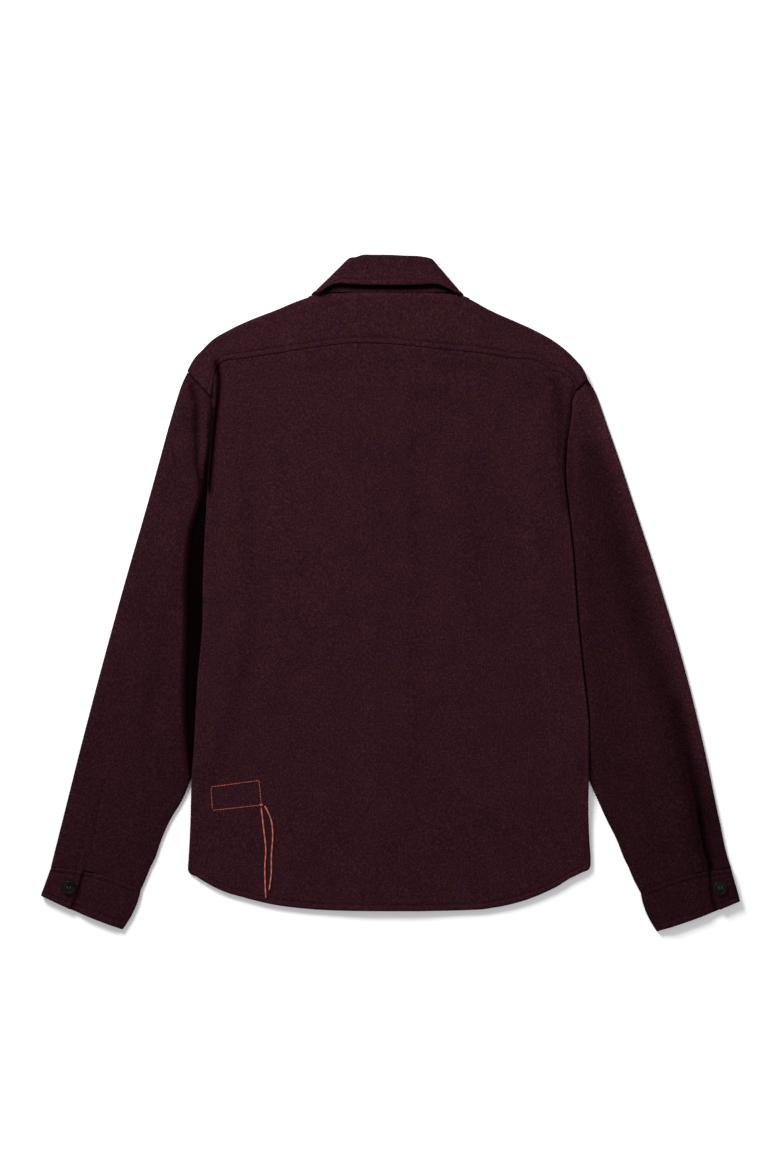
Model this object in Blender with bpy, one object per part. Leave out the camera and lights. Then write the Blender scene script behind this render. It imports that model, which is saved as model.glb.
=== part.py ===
"""A wool shacket laid flat on its front, with its back up and its collar folded down.

Metres, +Z up. The collar points to +Y, the wearer's left is at -X, and the origin is the middle of the
garment's box on the surface that it lies on. Sizes and tables below are in millimetres, with x measured
from the centre back and y measured up from the hem. Each piece of cloth is a wall with two sides, and a
piece that turns round an edge of the garment turns there in a roll.
"""
import math

import bpy
import numpy as np

for existing in list(bpy.data.objects):
    bpy.data.objects.remove(existing, do_unlink=True)

MM = 0.001
CENTRE_X = 0.6
CENTRE_Y = 380.05

# Thicknesses and gaps.
CLOTH = 2.2
GAP = 0.3
LAYER = CLOTH + GAP
CUFF_CLOTH = 2.8
STAND_CLOTH = 2.8
LEAF_CLOTH = 3.2

# The lift of the body over what lies under it.
SLEEVE_FLAT = 4.7
SLEEVE_LIFT = 5.0
SLEEVE_CREST = 8.2
BUTTON_LIFT = 2.9
COLLAR_LIFT = 4.0
NECK_LIFT = 10.1
BODY_LOFT = 6.0
HEM_LOFT = 3.2
EDGE_LOFT = 2.6

# Widths of what turns under or overlaps.
SIDE_TURN = 10.0
SHOULDER_TURN = 30.0
HALF_PLACKET = 16.0

# Buttons.
BUTTON_RADIUS = 8.6
BUTTON_THICK = 2.6
FIRST_BUTTON_Y = 610.0
BUTTON_PITCH = 95.0
FRONT_BUTTONS = 6

# Thread tails.
TAIL_RADIUS = 0.8

# Shoulder and back neck, as x, y.
TOP_EDGE = (
    (-243.6, 648.0), (-236.4, 661.2), (-225.6, 673.2), (-213.6, 685.2), (-194.4, 697.2),
    (-169.2, 709.2), (-138.0, 721.2), (-104.4, 734.4), (-92.4, 738.0), (-60.0, 740.4),
    (0.0, 741.6), (60.0, 740.4), (91.2, 736.0), (120.0, 721.2), (147.6, 709.2),
    (174.0, 697.2), (195.6, 685.2), (211.2, 673.2), (223.2, 661.2), (232.8, 649.2), (237.6, 638.4),
)
# Yoke seam, as x, y.
YOKE_SEAM = (
    (-214.8, 618.0), (-211.2, 642.0), (-205.2, 655.2), (-194.4, 661.2), (-183.6, 662.4),
    (-141.6, 668.4), (-110.4, 673.2), (-72.0, 678.5), (-52.8, 681.0), (0.0, 680.4), (26.4, 678.0),
    (64.8, 673.7), (106.8, 669.6), (153.6, 663.0), (170.4, 662.4), (180.0, 658.8), (189.6, 651.6),
    (211.2, 642.0), (220.8, 632.4), (223.2, 625.2),
)
# Body edges from the armhole down, as y, x.
LEFT_EDGE = (
    (50.4, -243.6), (66.0, -242.4), (85.2, -241.2), (109.2, -240.0), (133.2, -239.2), (158.4, -238.4),
    (204.0, -235.2), (270.0, -231.6), (337.2, -225.6), (404.4, -224.4), (472.8, -220.8),
    (493.2, -219.6), (526.8, -217.2), (554.4, -213.6), (583.2, -211.2), (606.0, -210.8),
    (618.0, -214.8), (648.0, -243.6),
)
RIGHT_EDGE = (
    (51.6, 241.2), (67.2, 241.2), (85.2, 240.0), (109.2, 238.8), (133.2, 238.2), (163.2, 238.8),
    (224.4, 238.8), (292.8, 231.6), (367.2, 224.4), (421.2, 220.8), (486.0, 213.6), (518.4, 210.0),
    (553.2, 211.2), (589.2, 216.0), (625.2, 223.2), (638.4, 237.6),
)
# Hem, as x, y.
HEM = (
    (-243.6, 50.4), (-237.6, 44.4), (-226.8, 37.2), (-214.8, 30.0), (-199.2, 22.8), (-175.2, 15.6),
    (-146.4, 8.4), (-90.0, 1.2), (0.0, -0.6), (109.2, 1.2), (148.8, 8.4), (171.6, 15.6),
    (188.4, 22.8), (202.8, 30.0), (213.6, 37.2), (228.0, 44.4), (241.2, 51.6),
)
# Front neck seam, as distance from the centre front, y.
FRONT_NECK = ((0.0, 671.0), (20.0, 672.0), (40.0, 677.0), (60.0, 685.0), (80.0, 697.0), (96.0, 707.0))
# How far the sleeve goes under the body, as y, width.
TUCK = (
    (60.0, -30.0), (133.0, -10.0), (156.0, 1.0), (229.0, 23.0), (325.0, 37.0), (403.0, 41.0),
    (480.0, 30.0), (560.0, 22.0), (618.0, 17.0), (648.0, 17.0),
)
# Sleeve edges, as y, x, with the left sleeve's x turned positive.
LEFT_SLEEVE_OUTER = (
    (51.6, 408.0), (61.2, 405.6), (109.2, 393.6), (205.2, 369.6), (301.2, 344.4), (397.2, 318.0),
    (493.2, 290.4), (541.2, 277.2), (589.2, 264.0), (613.2, 256.8), (637.2, 248.4), (646.8, 243.6),
)
LEFT_SLEEVE_INNER = (
    (25.8, 299.0), (37.2, 294.0), (51.6, 288.0), (61.2, 283.2), (85.2, 274.8), (109.2, 264.0),
    (133.2, 249.6), (156.0, 240.0), (229.2, 211.2), (325.2, 189.6), (403.2, 184.8),
)
RIGHT_SLEEVE_OUTER = (
    (50.4, 410.4), (61.2, 406.8), (109.2, 396.0), (205.2, 375.6), (301.2, 351.6), (397.2, 322.8),
    (493.2, 291.6), (541.2, 276.0), (589.2, 259.2), (613.2, 250.8), (625.2, 246.0), (638.4, 237.6),
)
RIGHT_SLEEVE_INNER = (
    (21.6, 301.0), (37.2, 292.8), (51.6, 286.8), (61.2, 282.0), (85.2, 272.4), (109.2, 260.4),
    (133.2, 249.6), (158.4, 238.4), (229.2, 213.6), (325.2, 192.0), (403.2, 187.2),
)
# Collar on the back, as the roll's x and y and the fall edge's x and y.
BACK_COLLAR = (
    (-42.0, 783.6, -83.0, 747.5), (-32.0, 784.6, -66.0, 751.5), (-18.0, 785.2, -38.0, 750.6),
    (0.0, 784.8, -4.0, 750.0), (18.0, 783.4, 30.0, 750.2), (32.0, 782.2, 58.0, 750.8),
    (43.0, 780.0, 78.0, 746.4),
)
# Collar on the front from the side fold to the centre, as the roll, the neck seam and the fall edge.
FRONT_COLLAR = (
    (46.0, 768.0, 84.0, 724.0, 86.0, 726.0), (40.0, 745.0, 71.0, 698.0, 76.0, 702.0),
    (29.0, 722.0, 48.0, 683.0, 62.0, 674.0), (15.0, 708.0, 26.0, 675.0, 50.0, 651.0),
    (4.0, 703.0, 8.0, 672.5, 45.0, 643.0),
)


def smooth(value):
    """0 to 1 with level ends."""
    held = np.clip(value, 0.0, 1.0)
    return held * held * (3.0 - 2.0 * held)


def ramp(value, start, end):
    return smooth((value - start) / (end - start))


def read(table, value):
    """The second column of a table at a value of the first, read along a smooth line."""
    keys, heights = np.array(table, float).T
    slopes = np.gradient(heights, keys)
    index = int(np.clip(np.searchsorted(keys, value) - 1, 0, len(keys) - 2))
    step = keys[index + 1] - keys[index]
    part = float(np.clip((value - keys[index]) / step, 0.0, 1.0))
    rise = heights[index + 1] - heights[index]
    limit = 3.0 * abs(rise / step)
    first, last = (float(np.clip(s, -limit, limit)) for s in slopes[index:index + 2])
    curved = (first * (1 - part) - last * part) * step + (2 * part - 1) * rise
    return heights[index] + part * rise + part * (1 - part) * curved


def material(name, colour, roughness):
    made = bpy.data.materials.new(name)
    made.use_nodes = True
    shader = made.node_tree.nodes["Principled BSDF"]
    shader.inputs["Base Color"].default_value = (*colour, 1.0)
    shader.inputs["Roughness"].default_value = roughness
    made.diffuse_color = (*colour, 1.0)
    return made


WOOL = material("wine_wool", (0.036, 0.013, 0.018), 0.9)
HORN = material("dark_green_horn", (0.008, 0.012, 0.010), 0.25)
THREAD = material("orange_thread", (0.78, 0.13, 0.02), 0.7)


def placed(point):
    x, y, z = point
    return ((x - CENTRE_X) * MM, (y - CENTRE_Y) * MM, z * MM)


def add_mesh(name, points, faces, finish):
    """A closed mesh, turned so that its faces point out."""
    points = np.array([placed(p) for p in points])
    volume = 0.0
    for face in faces:
        for second, third in zip(face[1:-1], face[2:]):
            volume += float(np.linalg.det(points[[face[0], second, third]]))
    if volume < 0:
        faces = [face[::-1] for face in faces]
    mesh = bpy.data.meshes.new(name)
    mesh.from_pydata(points.tolist(), [], faces)
    mesh.materials.append(finish)
    mesh.shade_smooth()
    mesh.set_sharp_from_angle(angle=math.radians(40))
    made = bpy.data.objects.new(name, mesh)
    bpy.context.scene.collection.objects.link(made)
    return made


def add_wall(name, outer, inner, keep=None, closed=False, finish=WOOL):
    """A wall of cloth between two grids of points. closed joins the last column to the first."""
    outer, inner = np.array(outer, float), np.array(inner, float)
    rows, columns = outer.shape[:2]
    cells = [
        (r, c) for r in range(rows - 1) for c in range(columns if closed else columns - 1)
        if keep is None or keep(r, c)
    ]
    edges = {}
    quads = []
    for r, c in cells:
        corners = [(r, c), (r, (c + 1) % columns), (r + 1, (c + 1) % columns), (r + 1, c)]
        quads.append(corners)
        for first, second in zip(corners, corners[1:] + corners[:1]):
            if (second, first) in edges:
                del edges[(second, first)]
            else:
                edges[(first, second)] = True
    used = sorted({corner for quad in quads for corner in quad})
    number = {corner: i for i, corner in enumerate(used)}
    points = [outer[corner] for corner in used] + [inner[corner] for corner in used]
    count = len(used)
    faces = [[number[c] for c in quad] for quad in quads]
    faces += [[number[c] + count for c in reversed(quad)] for quad in quads]
    faces += [
        [number[b], number[a], number[a] + count, number[b] + count] for a, b in edges
    ]
    return add_mesh(name, points, faces, finish)


# Heights of the body's layers above the surface.
def left_edge(y):
    return read(LEFT_EDGE, y)


def right_edge(y):
    return read(RIGHT_EDGE, y)


def low(x, y):
    """Underside of the body, where it passes over the sleeves, the front buttons and the collar."""
    inside = min(x - left_edge(y), right_edge(y) - x)
    tuck = read(TUCK, y)
    over_sleeve = SLEEVE_LIFT * (1 - ramp(inside, tuck + 5, tuck + 42)) * ramp(y, 76, 136)
    over_buttons = BUTTON_LIFT * (1 - ramp(abs(x), HALF_PLACKET, 46)) * ramp(y, 40, 100)
    over_collar = COLLAR_LIFT * ramp(y, 598, 634) * (1 - ramp(abs(x), 104, 150))
    return float(max(over_sleeve, over_buttons, over_collar))


def front_overlap(x):
    return float(1 - ramp(x, HALF_PLACKET + 3, 44))


def high(x, y):
    """Underside of the back and the yoke."""
    overlap = float(1 - ramp(abs(x), HALF_PLACKET + 3, 50))
    stack = low(x, y) + LAYER * (1 + overlap) + 0.5
    loft = HEM_LOFT + (BODY_LOFT - HEM_LOFT) * float(ramp(y, 10, 130))
    inside = min(x - left_edge(y), right_edge(y) - x)
    edge = EDGE_LOFT * float(ramp(y, 90, 200) * (1 - ramp(inside, 26, 90)) * (1 - ramp(y, 560, 640)))
    neck = NECK_LIFT * float(ramp(y, 600, 668) * (1 - ramp(abs(x), 92, 190)))
    return max(stack + edge, loft, neck) + back_folds(x, y)


# Folds down the back, as the x of the lower end, lean, width, and the y of both ends.
BACK_FOLDS = ((-26.0, -0.04, 26.0, 380.0, 640.0), (94.0, 0.03, 30.0, 230.0, 560.0))
FOLD_RISE = 0.8


def back_folds(x, y):
    """Slow folds that run down the back."""
    rise = 0.0
    for middle_x, lean, width, start_y, end_y in BACK_FOLDS:
        off = (x - middle_x - lean * (y - start_y)) / width
        fade = float(ramp(y, start_y, start_y + 90) * (1 - ramp(y, end_y - 80, end_y)))
        rise += FOLD_RISE * math.exp(-off * off) * fade
    return rise


# Outline of the body in parts from the left edge to the right.
def inward(table, x):
    """The direction into the cloth from an edge that faces up the garment."""
    slope = (read(table, x + 2) - read(table, x - 2)) / 4
    size = math.hypot(slope, 1.0)
    return np.array([slope / size, -1.0 / size])


def top_point(part, depth=0.0):
    x = TOP_EDGE[0][0] + part * (TOP_EDGE[-1][0] - TOP_EDGE[0][0])
    return np.array([x, read(TOP_EDGE, x)]) + depth * inward(TOP_EDGE, x)


def seam_point(part):
    x = YOKE_SEAM[0][0] + part * (YOKE_SEAM[-1][0] - YOKE_SEAM[0][0])
    return np.array([x, read(YOKE_SEAM, x)])


def hem_point(part):
    x = HEM[0][0] + part * (HEM[-1][0] - HEM[0][0])
    return np.array([x, read(HEM, x)])


def body_point(part, down):
    """A point of the body between the yoke seam, down = 0, and the hem, down = 1."""
    y, y_left, y_right = (
        seam_point(end)[1] * (1 - down) + hem_point(end)[1] * down for end in (part, 0, 1)
    )
    return np.array([left_edge(y_left) * (1 - part) + right_edge(y_right) * part, y])


# Columns from edge to edge and rows from the yoke seam to the hem.
NECK_LEFT, NECK_RIGHT = 0.30, 0.71
PARTS = (
    0.0, 0.011, 0.03, 0.055, 0.09, 0.14, 0.20, 0.255, NECK_LEFT, 0.37, 0.42, 0.46, 0.5,
    0.54, 0.58, 0.645, NECK_RIGHT, 0.76, 0.81, 0.87, 0.92, 0.955, 0.975, 0.989, 1.0,
)
DOWNS = (
    0.0, 0.025, 0.055, 0.09, 0.13, 0.18, 0.24, 0.31, 0.38, 0.45, 0.52, 0.59, 0.66, 0.72, 0.77, 0.82,
    0.86, 0.90, 0.94, 0.975, 1.0,
)
ROLL_ANGLES = (-90, -45, 0, 45, 90)
SEAM_PARTING = 0.4
TURN_TOP_Y = 606.0
ROLL_BELOW_SEAM = 3.0
TURN_PARTING = 2.6


def roll_points(edge, into, low_z, high_z, angle):
    """Outer and inner points of a roll between a lower wall and an upper one."""
    radius = (high_z + CLOTH - low_z) / 2
    pair = []
    for reach in (radius, radius - CLOTH):
        flat = edge + into * (radius - reach * math.cos(math.radians(angle)))
        pair.append((flat[0], flat[1], low_z + radius + reach * math.sin(math.radians(angle))))
    return pair


def upper_pair(x, y):
    z = high(x, y)
    return (x, y, z + CLOTH), (x, y, z)


def add_back():
    rows = []
    for down in DOWNS:
        shift = SEAM_PARTING * (1 - down)
        row = []
        for side, part_end in ((1, 0.0), (-1, 1.0)):
            edge = body_point(part_end, down)
            into = np.array([side, 0.0])
            inner_part = abs(part_end - 0.011)
            top_y = body_point(inner_part, down)[1] - shift
            turned_y = min(TURN_TOP_Y, seam_point(part_end)[1]) * (1 - down) + body_point(
                abs(part_end - 0.02), 1.0)[1] * down
            low_z = low(edge[0] + side * 5, edge[1])
            high_z = high(edge[0] + side * 5, edge[1])
            turned = edge[0] + side * SIDE_TURN
            turned_low = low(turned, turned_y)
            pairs = [((turned, turned_y, turned_low), (turned, turned_y, turned_low + CLOTH))]
            for angle in ROLL_ANGLES:
                share = (1 + math.sin(math.radians(angle))) / 2
                at = np.array([edge[0], turned_y * (1 - share) + top_y * share])
                seam_y = read(YOKE_SEAM, roll_points(at, into, low_z, high_z, angle)[0][0])
                at[1] = min(at[1], seam_y - ROLL_BELOW_SEAM)
                pairs.append(roll_points(at, into, low_z, high_z, angle))
            row.append(pairs)
        middle = []
        for part in PARTS[2:-2]:
            spot = body_point(part, down)
            middle.append(upper_pair(*(spot + shift * inward(YOKE_SEAM, spot[0]))))
        rows.append(row[0] + middle + row[1][::-1])
    outer = [[pair[0] for pair in row] for row in rows]
    inner = [[pair[1] for pair in row] for row in rows]
    return add_wall("back", outer, inner)


def on_shoulder(part):
    return part < NECK_LEFT + 0.001 or part > NECK_RIGHT - 0.001


def add_yoke():
    rows = []
    depths = (SHOULDER_TURN, SHOULDER_TURN / 2)
    for depth in depths:
        row = []
        for part in PARTS:
            x, y = top_point(part, depth)
            z = low(x, y)
            row.append(((x, y, z), (x, y, z + CLOTH)))
        rows.append(row)
    for angle in ROLL_ANGLES:
        row = []
        for part in PARTS:
            edge = top_point(part)
            into = inward(TOP_EDGE, edge[0])
            at = edge + 5 * into
            if on_shoulder(part) or angle < 90:
                row.append(roll_points(edge, into, low(*at), high(*at), angle))
            else:
                row.append(upper_pair(*top_point(part, SEAM_PARTING)))
        rows.append(row)
    for share in (0.2, 0.45, 0.72, 1.0):
        row = []
        for part in PARTS:
            start = top_point(part, 4.0)
            x, y = start * (1 - share) + (seam_point(part) + [0.0, GAP]) * share
            row.append(upper_pair(x, y))
        rows.append(row)
    outer = [[pair[0] for pair in row] for row in rows]
    inner = [[pair[1] for pair in row] for row in rows]
    turned = len(depths) + len(ROLL_ANGLES) - 1

    def keep(r, c):
        return r >= turned or on_shoulder((PARTS[c] + PARTS[c + 1]) / 2)

    return add_wall("yoke", outer, inner, keep)


FRONT_COLUMNS = (0.0, 0.05, 0.11, 0.18, 0.27, 0.37, 0.48, 0.6, 0.7, 0.79, 0.86, 0.915, 0.96, 1.0)
FRONT_ROWS = (
    0.0, 0.02, 0.045, 0.08, 0.12, 0.17, 0.24, 0.32, 0.41, 0.5, 0.59, 0.67, 0.74, 0.79, 0.84, 0.885,
    0.93, 0.97, 1.0,
)
SHOULDER_SHARE = 0.6


def front_point(side, across, down, centre):
    """A point of a front, from its side edge, across = 0, to its own edge past the centre."""
    corner_part = NECK_LEFT if side < 0 else NECK_RIGHT
    corner = top_point(corner_part, SHOULDER_TURN + 2 * GAP)
    if across < SHOULDER_SHARE:
        end_part = 0.0 if side < 0 else 1.0
        part = end_part + (corner_part - end_part) * across / SHOULDER_SHARE
        top = top_point(part, SHOULDER_TURN + 2 * GAP)
    else:
        share = (across - SHOULDER_SHARE) / (1 - SHOULDER_SHARE)
        x = corner[0] * (1 - share) + centre * share
        top = np.array([x, read(FRONT_NECK, abs(x)) + (corner[1] - 707) * (1 - share)])
    edge = left_edge if side < 0 else right_edge

    def crossing(y):
        start = edge(y) - side * (SIDE_TURN + TURN_PARTING)
        return start * (1 - across) + centre * across

    hem_y = read(HEM, crossing(52.0))
    y = top[1] * (1 - down) + hem_y * down
    own = float(ramp(y, TURN_TOP_Y + 6, top[1]))
    return crossing(y) * (1 - own) + top[0] * own, y


def add_front(side, name):
    centre = -side * HALF_PLACKET
    outer, inner = [], []
    for down in FRONT_ROWS:
        outer.append([])
        inner.append([])
        for across in FRONT_COLUMNS:
            x, y = front_point(side, across, down, centre)
            z = low(x, y)
            if side > 0:
                z += (LAYER + 0.1) * front_overlap(x)
            outer[-1].append((x, y, z))
            inner[-1].append((x, y, z + CLOTH))
    return add_wall(name, outer, inner)


# Sleeves, from the cap, along = 0, to the cuff seam, along = 1, and from the outer edge to the underarm.
ALONGS = (0.0, 0.04, 0.09, 0.15, 0.22, 0.30, 0.38, 0.46, 0.54, 0.62, 0.70, 0.78, 0.85, 0.91, 0.96, 1.0)
ACROSS = (0.0, 0.06, 0.14, 0.25, 0.37, 0.5, 0.63, 0.75, 0.86, 0.94, 1.0)
CAP_BULGE = 36.0
CAP_TURN = 14
END_BULGE = 7.0
SLEEVE_ROLL = SLEEVE_FLAT / 2
SIDE_ROLL_ANGLES = (-45, 0, 45)
# The crease down the right sleeve to its cuff opening, as y, x.
RIGHT_CREASE = ((54.0, 382.8), (78.0, 376.8), (126.0, 368.4), (201.6, 356.4), (247.0, 339.6))


def sleeve_ends(side, along):
    outer, inner = (
        (LEFT_SLEEVE_OUTER, LEFT_SLEEVE_INNER) if side < 0 else (RIGHT_SLEEVE_OUTER, RIGHT_SLEEVE_INNER)
    )
    ends = []
    for table in (outer, inner):
        y = table[-1][0] * (1 - along) + table[0][0] * along
        ends.append(np.array([side * read(table, y), y]))
    return ends


def sleeve_plan(side, across, along):
    first, last = sleeve_ends(side, along)
    belly = 4 * across * (1 - across)
    crown = (1 - (1 - across) ** CAP_TURN) * (1 - across)
    cap = CAP_BULGE * crown * (1 - float(ramp(along, 0, 0.4)))
    end = END_BULGE * belly * float(ramp(along, 0.75, 1.0))
    return first * (1 - across) + last * across + np.array([-side * cap, end])


# The wall of the left sleeve that stands beside the gap along the body, as y, distance out from the body.
LEFT_GAP_WALL = (
    (120.0, 2.0), (204.0, 10.0), (270.0, 15.0), (337.0, 19.0), (404.0, 20.0), (457.0, 17.0), (493.0, 9.0),
    (583.0, 5.0), (640.0, 4.0),
)
WALL_RISE = 4.6
WALL_FALL = 42.0


def sleeve_top(side, across, x, y):
    """Height of the sleeve's upper side, low where it goes under the body."""
    outside = left_edge(y) - x if side < 0 else x - right_edge(y)
    full = max(math.sin(math.pi * across), 0.0) ** 0.7 * float(ramp(outside, 3, 26))
    height = SLEEVE_FLAT + (SLEEVE_CREST - SLEEVE_FLAT) * full
    if side < 0:
        past = outside - float(read(LEFT_GAP_WALL, y))
        wall = float(ramp(past, -3, 8) * (1 - ramp(past, 0.1 * WALL_FALL, WALL_FALL)))
        height += WALL_RISE * wall * float(ramp(y, 130, 230) * (1 - ramp(y, 470, 580)))
    if side > 0 and y < 250:
        crease = (x - read(RIGHT_CREASE, y)) / 6
        height -= 2.2 * math.exp(-crease * crease) * float(1 - ramp(y, 180, 250)) * full
    return height


def add_sleeve(side, name):
    outer, inner = [], []
    for along in ALONGS:
        first, last = sleeve_ends(side, along)
        length = float(np.linalg.norm(last - first))

        def spot(distance, along=along, length=length):
            return sleeve_plan(side, distance / length, along)

        outer_row, inner_row = [], []
        for share in ACROSS:
            x, y = spot(SLEEVE_ROLL + share * (length - 2 * SLEEVE_ROLL))
            outer_row.append((x, y, 0.0))
            inner_row.append((x, y, CLOTH))
        for centre, turn, angles in (
            (length - SLEEVE_ROLL, 1, SIDE_ROLL_ANGLES), (SLEEVE_ROLL, -1, SIDE_ROLL_ANGLES[::-1]),
        ):
            if turn < 0:
                for share in ACROSS[::-1]:
                    x, y = spot(SLEEVE_ROLL + share * (length - 2 * SLEEVE_ROLL))
                    top = sleeve_top(side, share, x, y)
                    outer_row.append((x, y, top))
                    inner_row.append((x, y, top - CLOTH))
            for angle in angles:
                for row, radius in ((outer_row, SLEEVE_ROLL), (inner_row, SLEEVE_ROLL - CLOTH)):
                    lean = math.radians(angle)
                    x, y = spot(centre + turn * radius * math.cos(lean))
                    row.append((x, y, SLEEVE_ROLL + radius * math.sin(lean)))
        outer.append(outer_row)
        inner.append(inner_row)
    return add_wall(name, outer, inner, closed=True)


# Cuffs, as strips that go round the wrist and overlap on the upper side.
CUFF_BOTTOM = {-1: ((-420.0, 18.6), (-321.0, -22.8)), 1: ((421.2, 12.0), (320.4, -25.2))}
CUFF_SEAM_SHIFT = 0.6
CUFF_BELLY = -2.0
CUFF_LAYER = CUFF_CLOTH + GAP
FLAP_END = {-1: 0.36, 1: 0.25}
CUFF_LOFT = 2.4
CUFF_ROWS = (0.0, 0.33, 0.67, 1.0)


def cuff_plan(side, across, down):
    first, last = (np.array(end) for end in CUFF_BOTTOM[side])
    belly = 4 * across * (1 - across)
    seam = sleeve_plan(side, across, 1.0) + np.array([side * 0.25, -0.97]) * CUFF_SEAM_SHIFT
    edge = first * (1 - across) + last * across + np.array([0.0, CUFF_BELLY * belly])
    curve = 3.5 * across * 4 * down * (1 - down) * np.array([-side, 0.0])
    return seam * (1 - down) + edge * down + curve


def cuff_path(side):
    """Places round the cuff, as share across, height of the outer side and height of the inner side."""
    flap = FLAP_END[side]
    upper = 2 * CUFF_LAYER
    path = [(a, upper + CUFF_CLOTH, upper) for a in (flap, flap * 0.75, flap * 0.45, 0.05)]
    reach = (upper + CUFF_CLOTH) / 2
    path += roll_places(0.045, -1, reach, (45, 0, -45))
    path += [(a, 0.0, CUFF_CLOTH) for a in (0.05, 0.2, 0.4, 0.6, 0.8, 0.96)]
    reach = (CUFF_LAYER + CUFF_CLOTH) / 2
    path += roll_places(0.97, 1, reach, SIDE_ROLL_ANGLES)
    for a in (0.96, 0.86, 0.74, 0.62, flap + 0.18, flap + 0.06, flap - 0.06, 0.14):
        z = CUFF_LAYER + CUFF_LOFT * float(ramp(a, flap + 0.06, flap + 0.2) * (1 - ramp(a, 0.84, 0.97)))
        path.append((a, z + CUFF_CLOTH, z))
    return path


def roll_places(across, turn, reach, angles):
    """A roll at a cuff's edge, as pairs of share across and height for the outer and the inner side."""
    places = []
    for angle in angles:
        lean = math.radians(angle)
        inner = reach - CUFF_CLOTH
        places.append((
            (across + turn * reach * math.cos(lean) / 112, across + turn * inner * math.cos(lean) / 112),
            reach + reach * math.sin(lean), reach + inner * math.sin(lean),
        ))
    return places


def add_cuff(side, name):
    outer, inner = [], []
    for down in CUFF_ROWS:
        outer.append([])
        inner.append([])
        for across, outer_z, inner_z in cuff_path(side):
            pair = across if isinstance(across, tuple) else (across, across)
            outer[-1].append((*cuff_plan(side, pair[0], down), outer_z))
            inner[-1].append((*cuff_plan(side, pair[1], down), inner_z))
    return add_wall(name, outer, inner)


# The collar: a leaf that folds over a stand, both going round the neck.
COLLAR_BASE = 3.2
COLLAR_TURN = 4.8
COLLAR_CORNERS = {-1: ((-48.0, 785.4), (-94.8, 739.2)), 1: ((51.0, 783.0), (88.8, 738.4))}
COLLAR_TURN_ANGLES = (70, 35, 0, -35, -70)
NECK_SEAM_Y = 742.8
STAND_SHORT = 6.0
STAND_END = (-16.0, 699.5, -16.0, 672.5)
# The leaf where it rolls over the stand, as outer distance and height, then inner distance and height.
LEAF_PROFILE = (
    (-3.2, -2.6, 0.0, -2.6), (-3.2, 0.2, 0.0, -0.9), (-2.1, 2.2, 0.3, -0.2), (0.8, 3.2, 1.0, 0.0),
)


def side_stations(side):
    """Stations of one half, from the centre front to the back, each with its roll, neck and fall points."""
    stations = []
    for i, row in enumerate((*FRONT_COLLAR, STAND_END)[::-1]):
        roll, neck = np.array(row[0:2]), np.array(row[2:4])
        fall = np.array(row[4:6]) if len(row) > 4 else None
        flip = np.array([side, 1.0])
        lifted = CUFF_LAYER if side > 0 and i < 3 else 0.0
        fall = None if fall is None else fall * flip
        stations.append((roll * flip, neck * flip, fall, COLLAR_BASE, (0.0, 0.0, -1.0), lifted))
    roll, fall = (np.array(corner) for corner in COLLAR_CORNERS[side])
    line = (fall - roll) / np.linalg.norm(fall - roll)
    out = np.array([side * -line[1], side * line[0]])
    for angle in COLLAR_TURN_ANGLES[::-1]:
        lean = math.radians(angle)
        depth = LEAF_CLOTH + COLLAR_TURN * (1 - math.cos(lean))
        slide = max(math.sin(lean), 0.0) * (depth - LEAF_CLOTH)
        shift = -depth * out - slide * line
        normal = (out[0] * math.cos(lean), out[1] * math.cos(lean), math.sin(lean))
        rise = 6.0 * max(math.sin(lean), 0.0) * line
        height = COLLAR_BASE + COLLAR_TURN * (1 + math.sin(lean))
        neck = fall + shift - rise / 3 - STAND_SHORT * line
        stations.append((roll + shift, neck, fall + shift - rise, height, normal, 0.0))
    return stations


def collar_stations():
    back = []
    for roll_x, roll_y, fall_x, fall_y in BACK_COLLAR[1:-1]:
        neck_x = fall_x * 1.02
        back.append((
            np.array([roll_x, roll_y]), np.array([neck_x, NECK_SEAM_Y]), np.array([fall_x, fall_y]),
            COLLAR_BASE + 2 * COLLAR_TURN, (0.0, 0.0, 1.0), 0.0,
        ))
    return side_stations(-1) + back + side_stations(1)[::-1]


def collar_point(base, way, normal, height, across, rise):
    flat = base + way * across
    return (flat[0] + normal[0] * rise, flat[1] + normal[1] * rise, height + normal[2] * rise)


def add_collar_leaf():
    outer, inner = [], []
    for roll, _, fall, height, normal, _ in collar_stations():
        if fall is None:
            continue
        length = float(np.linalg.norm(fall - roll))
        way = (fall - roll) / length
        base = roll + way * LEAF_CLOTH
        width = length - LEAF_CLOTH
        rows = [*LEAF_PROFILE, *((width * s, LEAF_CLOTH, width * s, 0.0) for s in (0.35, 0.7, 1.0))]
        outer.append([collar_point(base, way, normal, height, r[0], r[1]) for r in rows])
        inner.append([collar_point(base, way, normal, height, r[2], r[3]) for r in rows])
    return add_wall("collar_leaf", outer, inner)


def add_collar_stand():
    outer, inner = [], []
    for roll, neck, _, height, normal, lifted in collar_stations():
        length = float(np.linalg.norm(neck - roll))
        way = (neck - roll) / length
        base = roll + way * LEAF_CLOTH
        width = length - LEAF_CLOTH
        top, bottom = -GAP - lifted, -GAP - STAND_CLOTH - lifted
        places = (0.6, width * 0.5, width)
        outer.append([collar_point(base, way, normal, height, p, top) for p in places])
        inner.append([collar_point(base, way, normal, height, p, bottom) for p in places])
    return add_wall("collar_stand", outer, inner)


# Buttons: turned discs with a raised rim and four holes.
# Half section from the dished middle over the rim to the back, as shares of the radius and the thickness.
BUTTON_PROFILE = ((0.55, 0.72), (0.68, 0.9), (0.84, 1.0), (0.96, 0.86), (1.0, 0.55), (0.86, 0.0))
BUTTON_SIDES = 16
HOLE_SIDES = 6
HOLE_RADIUS = 1.0
HOLE_REACH = 2.5
CUFF_BUTTONS = {-1: (-385.2, 28.0), 1: (396.0, 27.6)}


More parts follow.
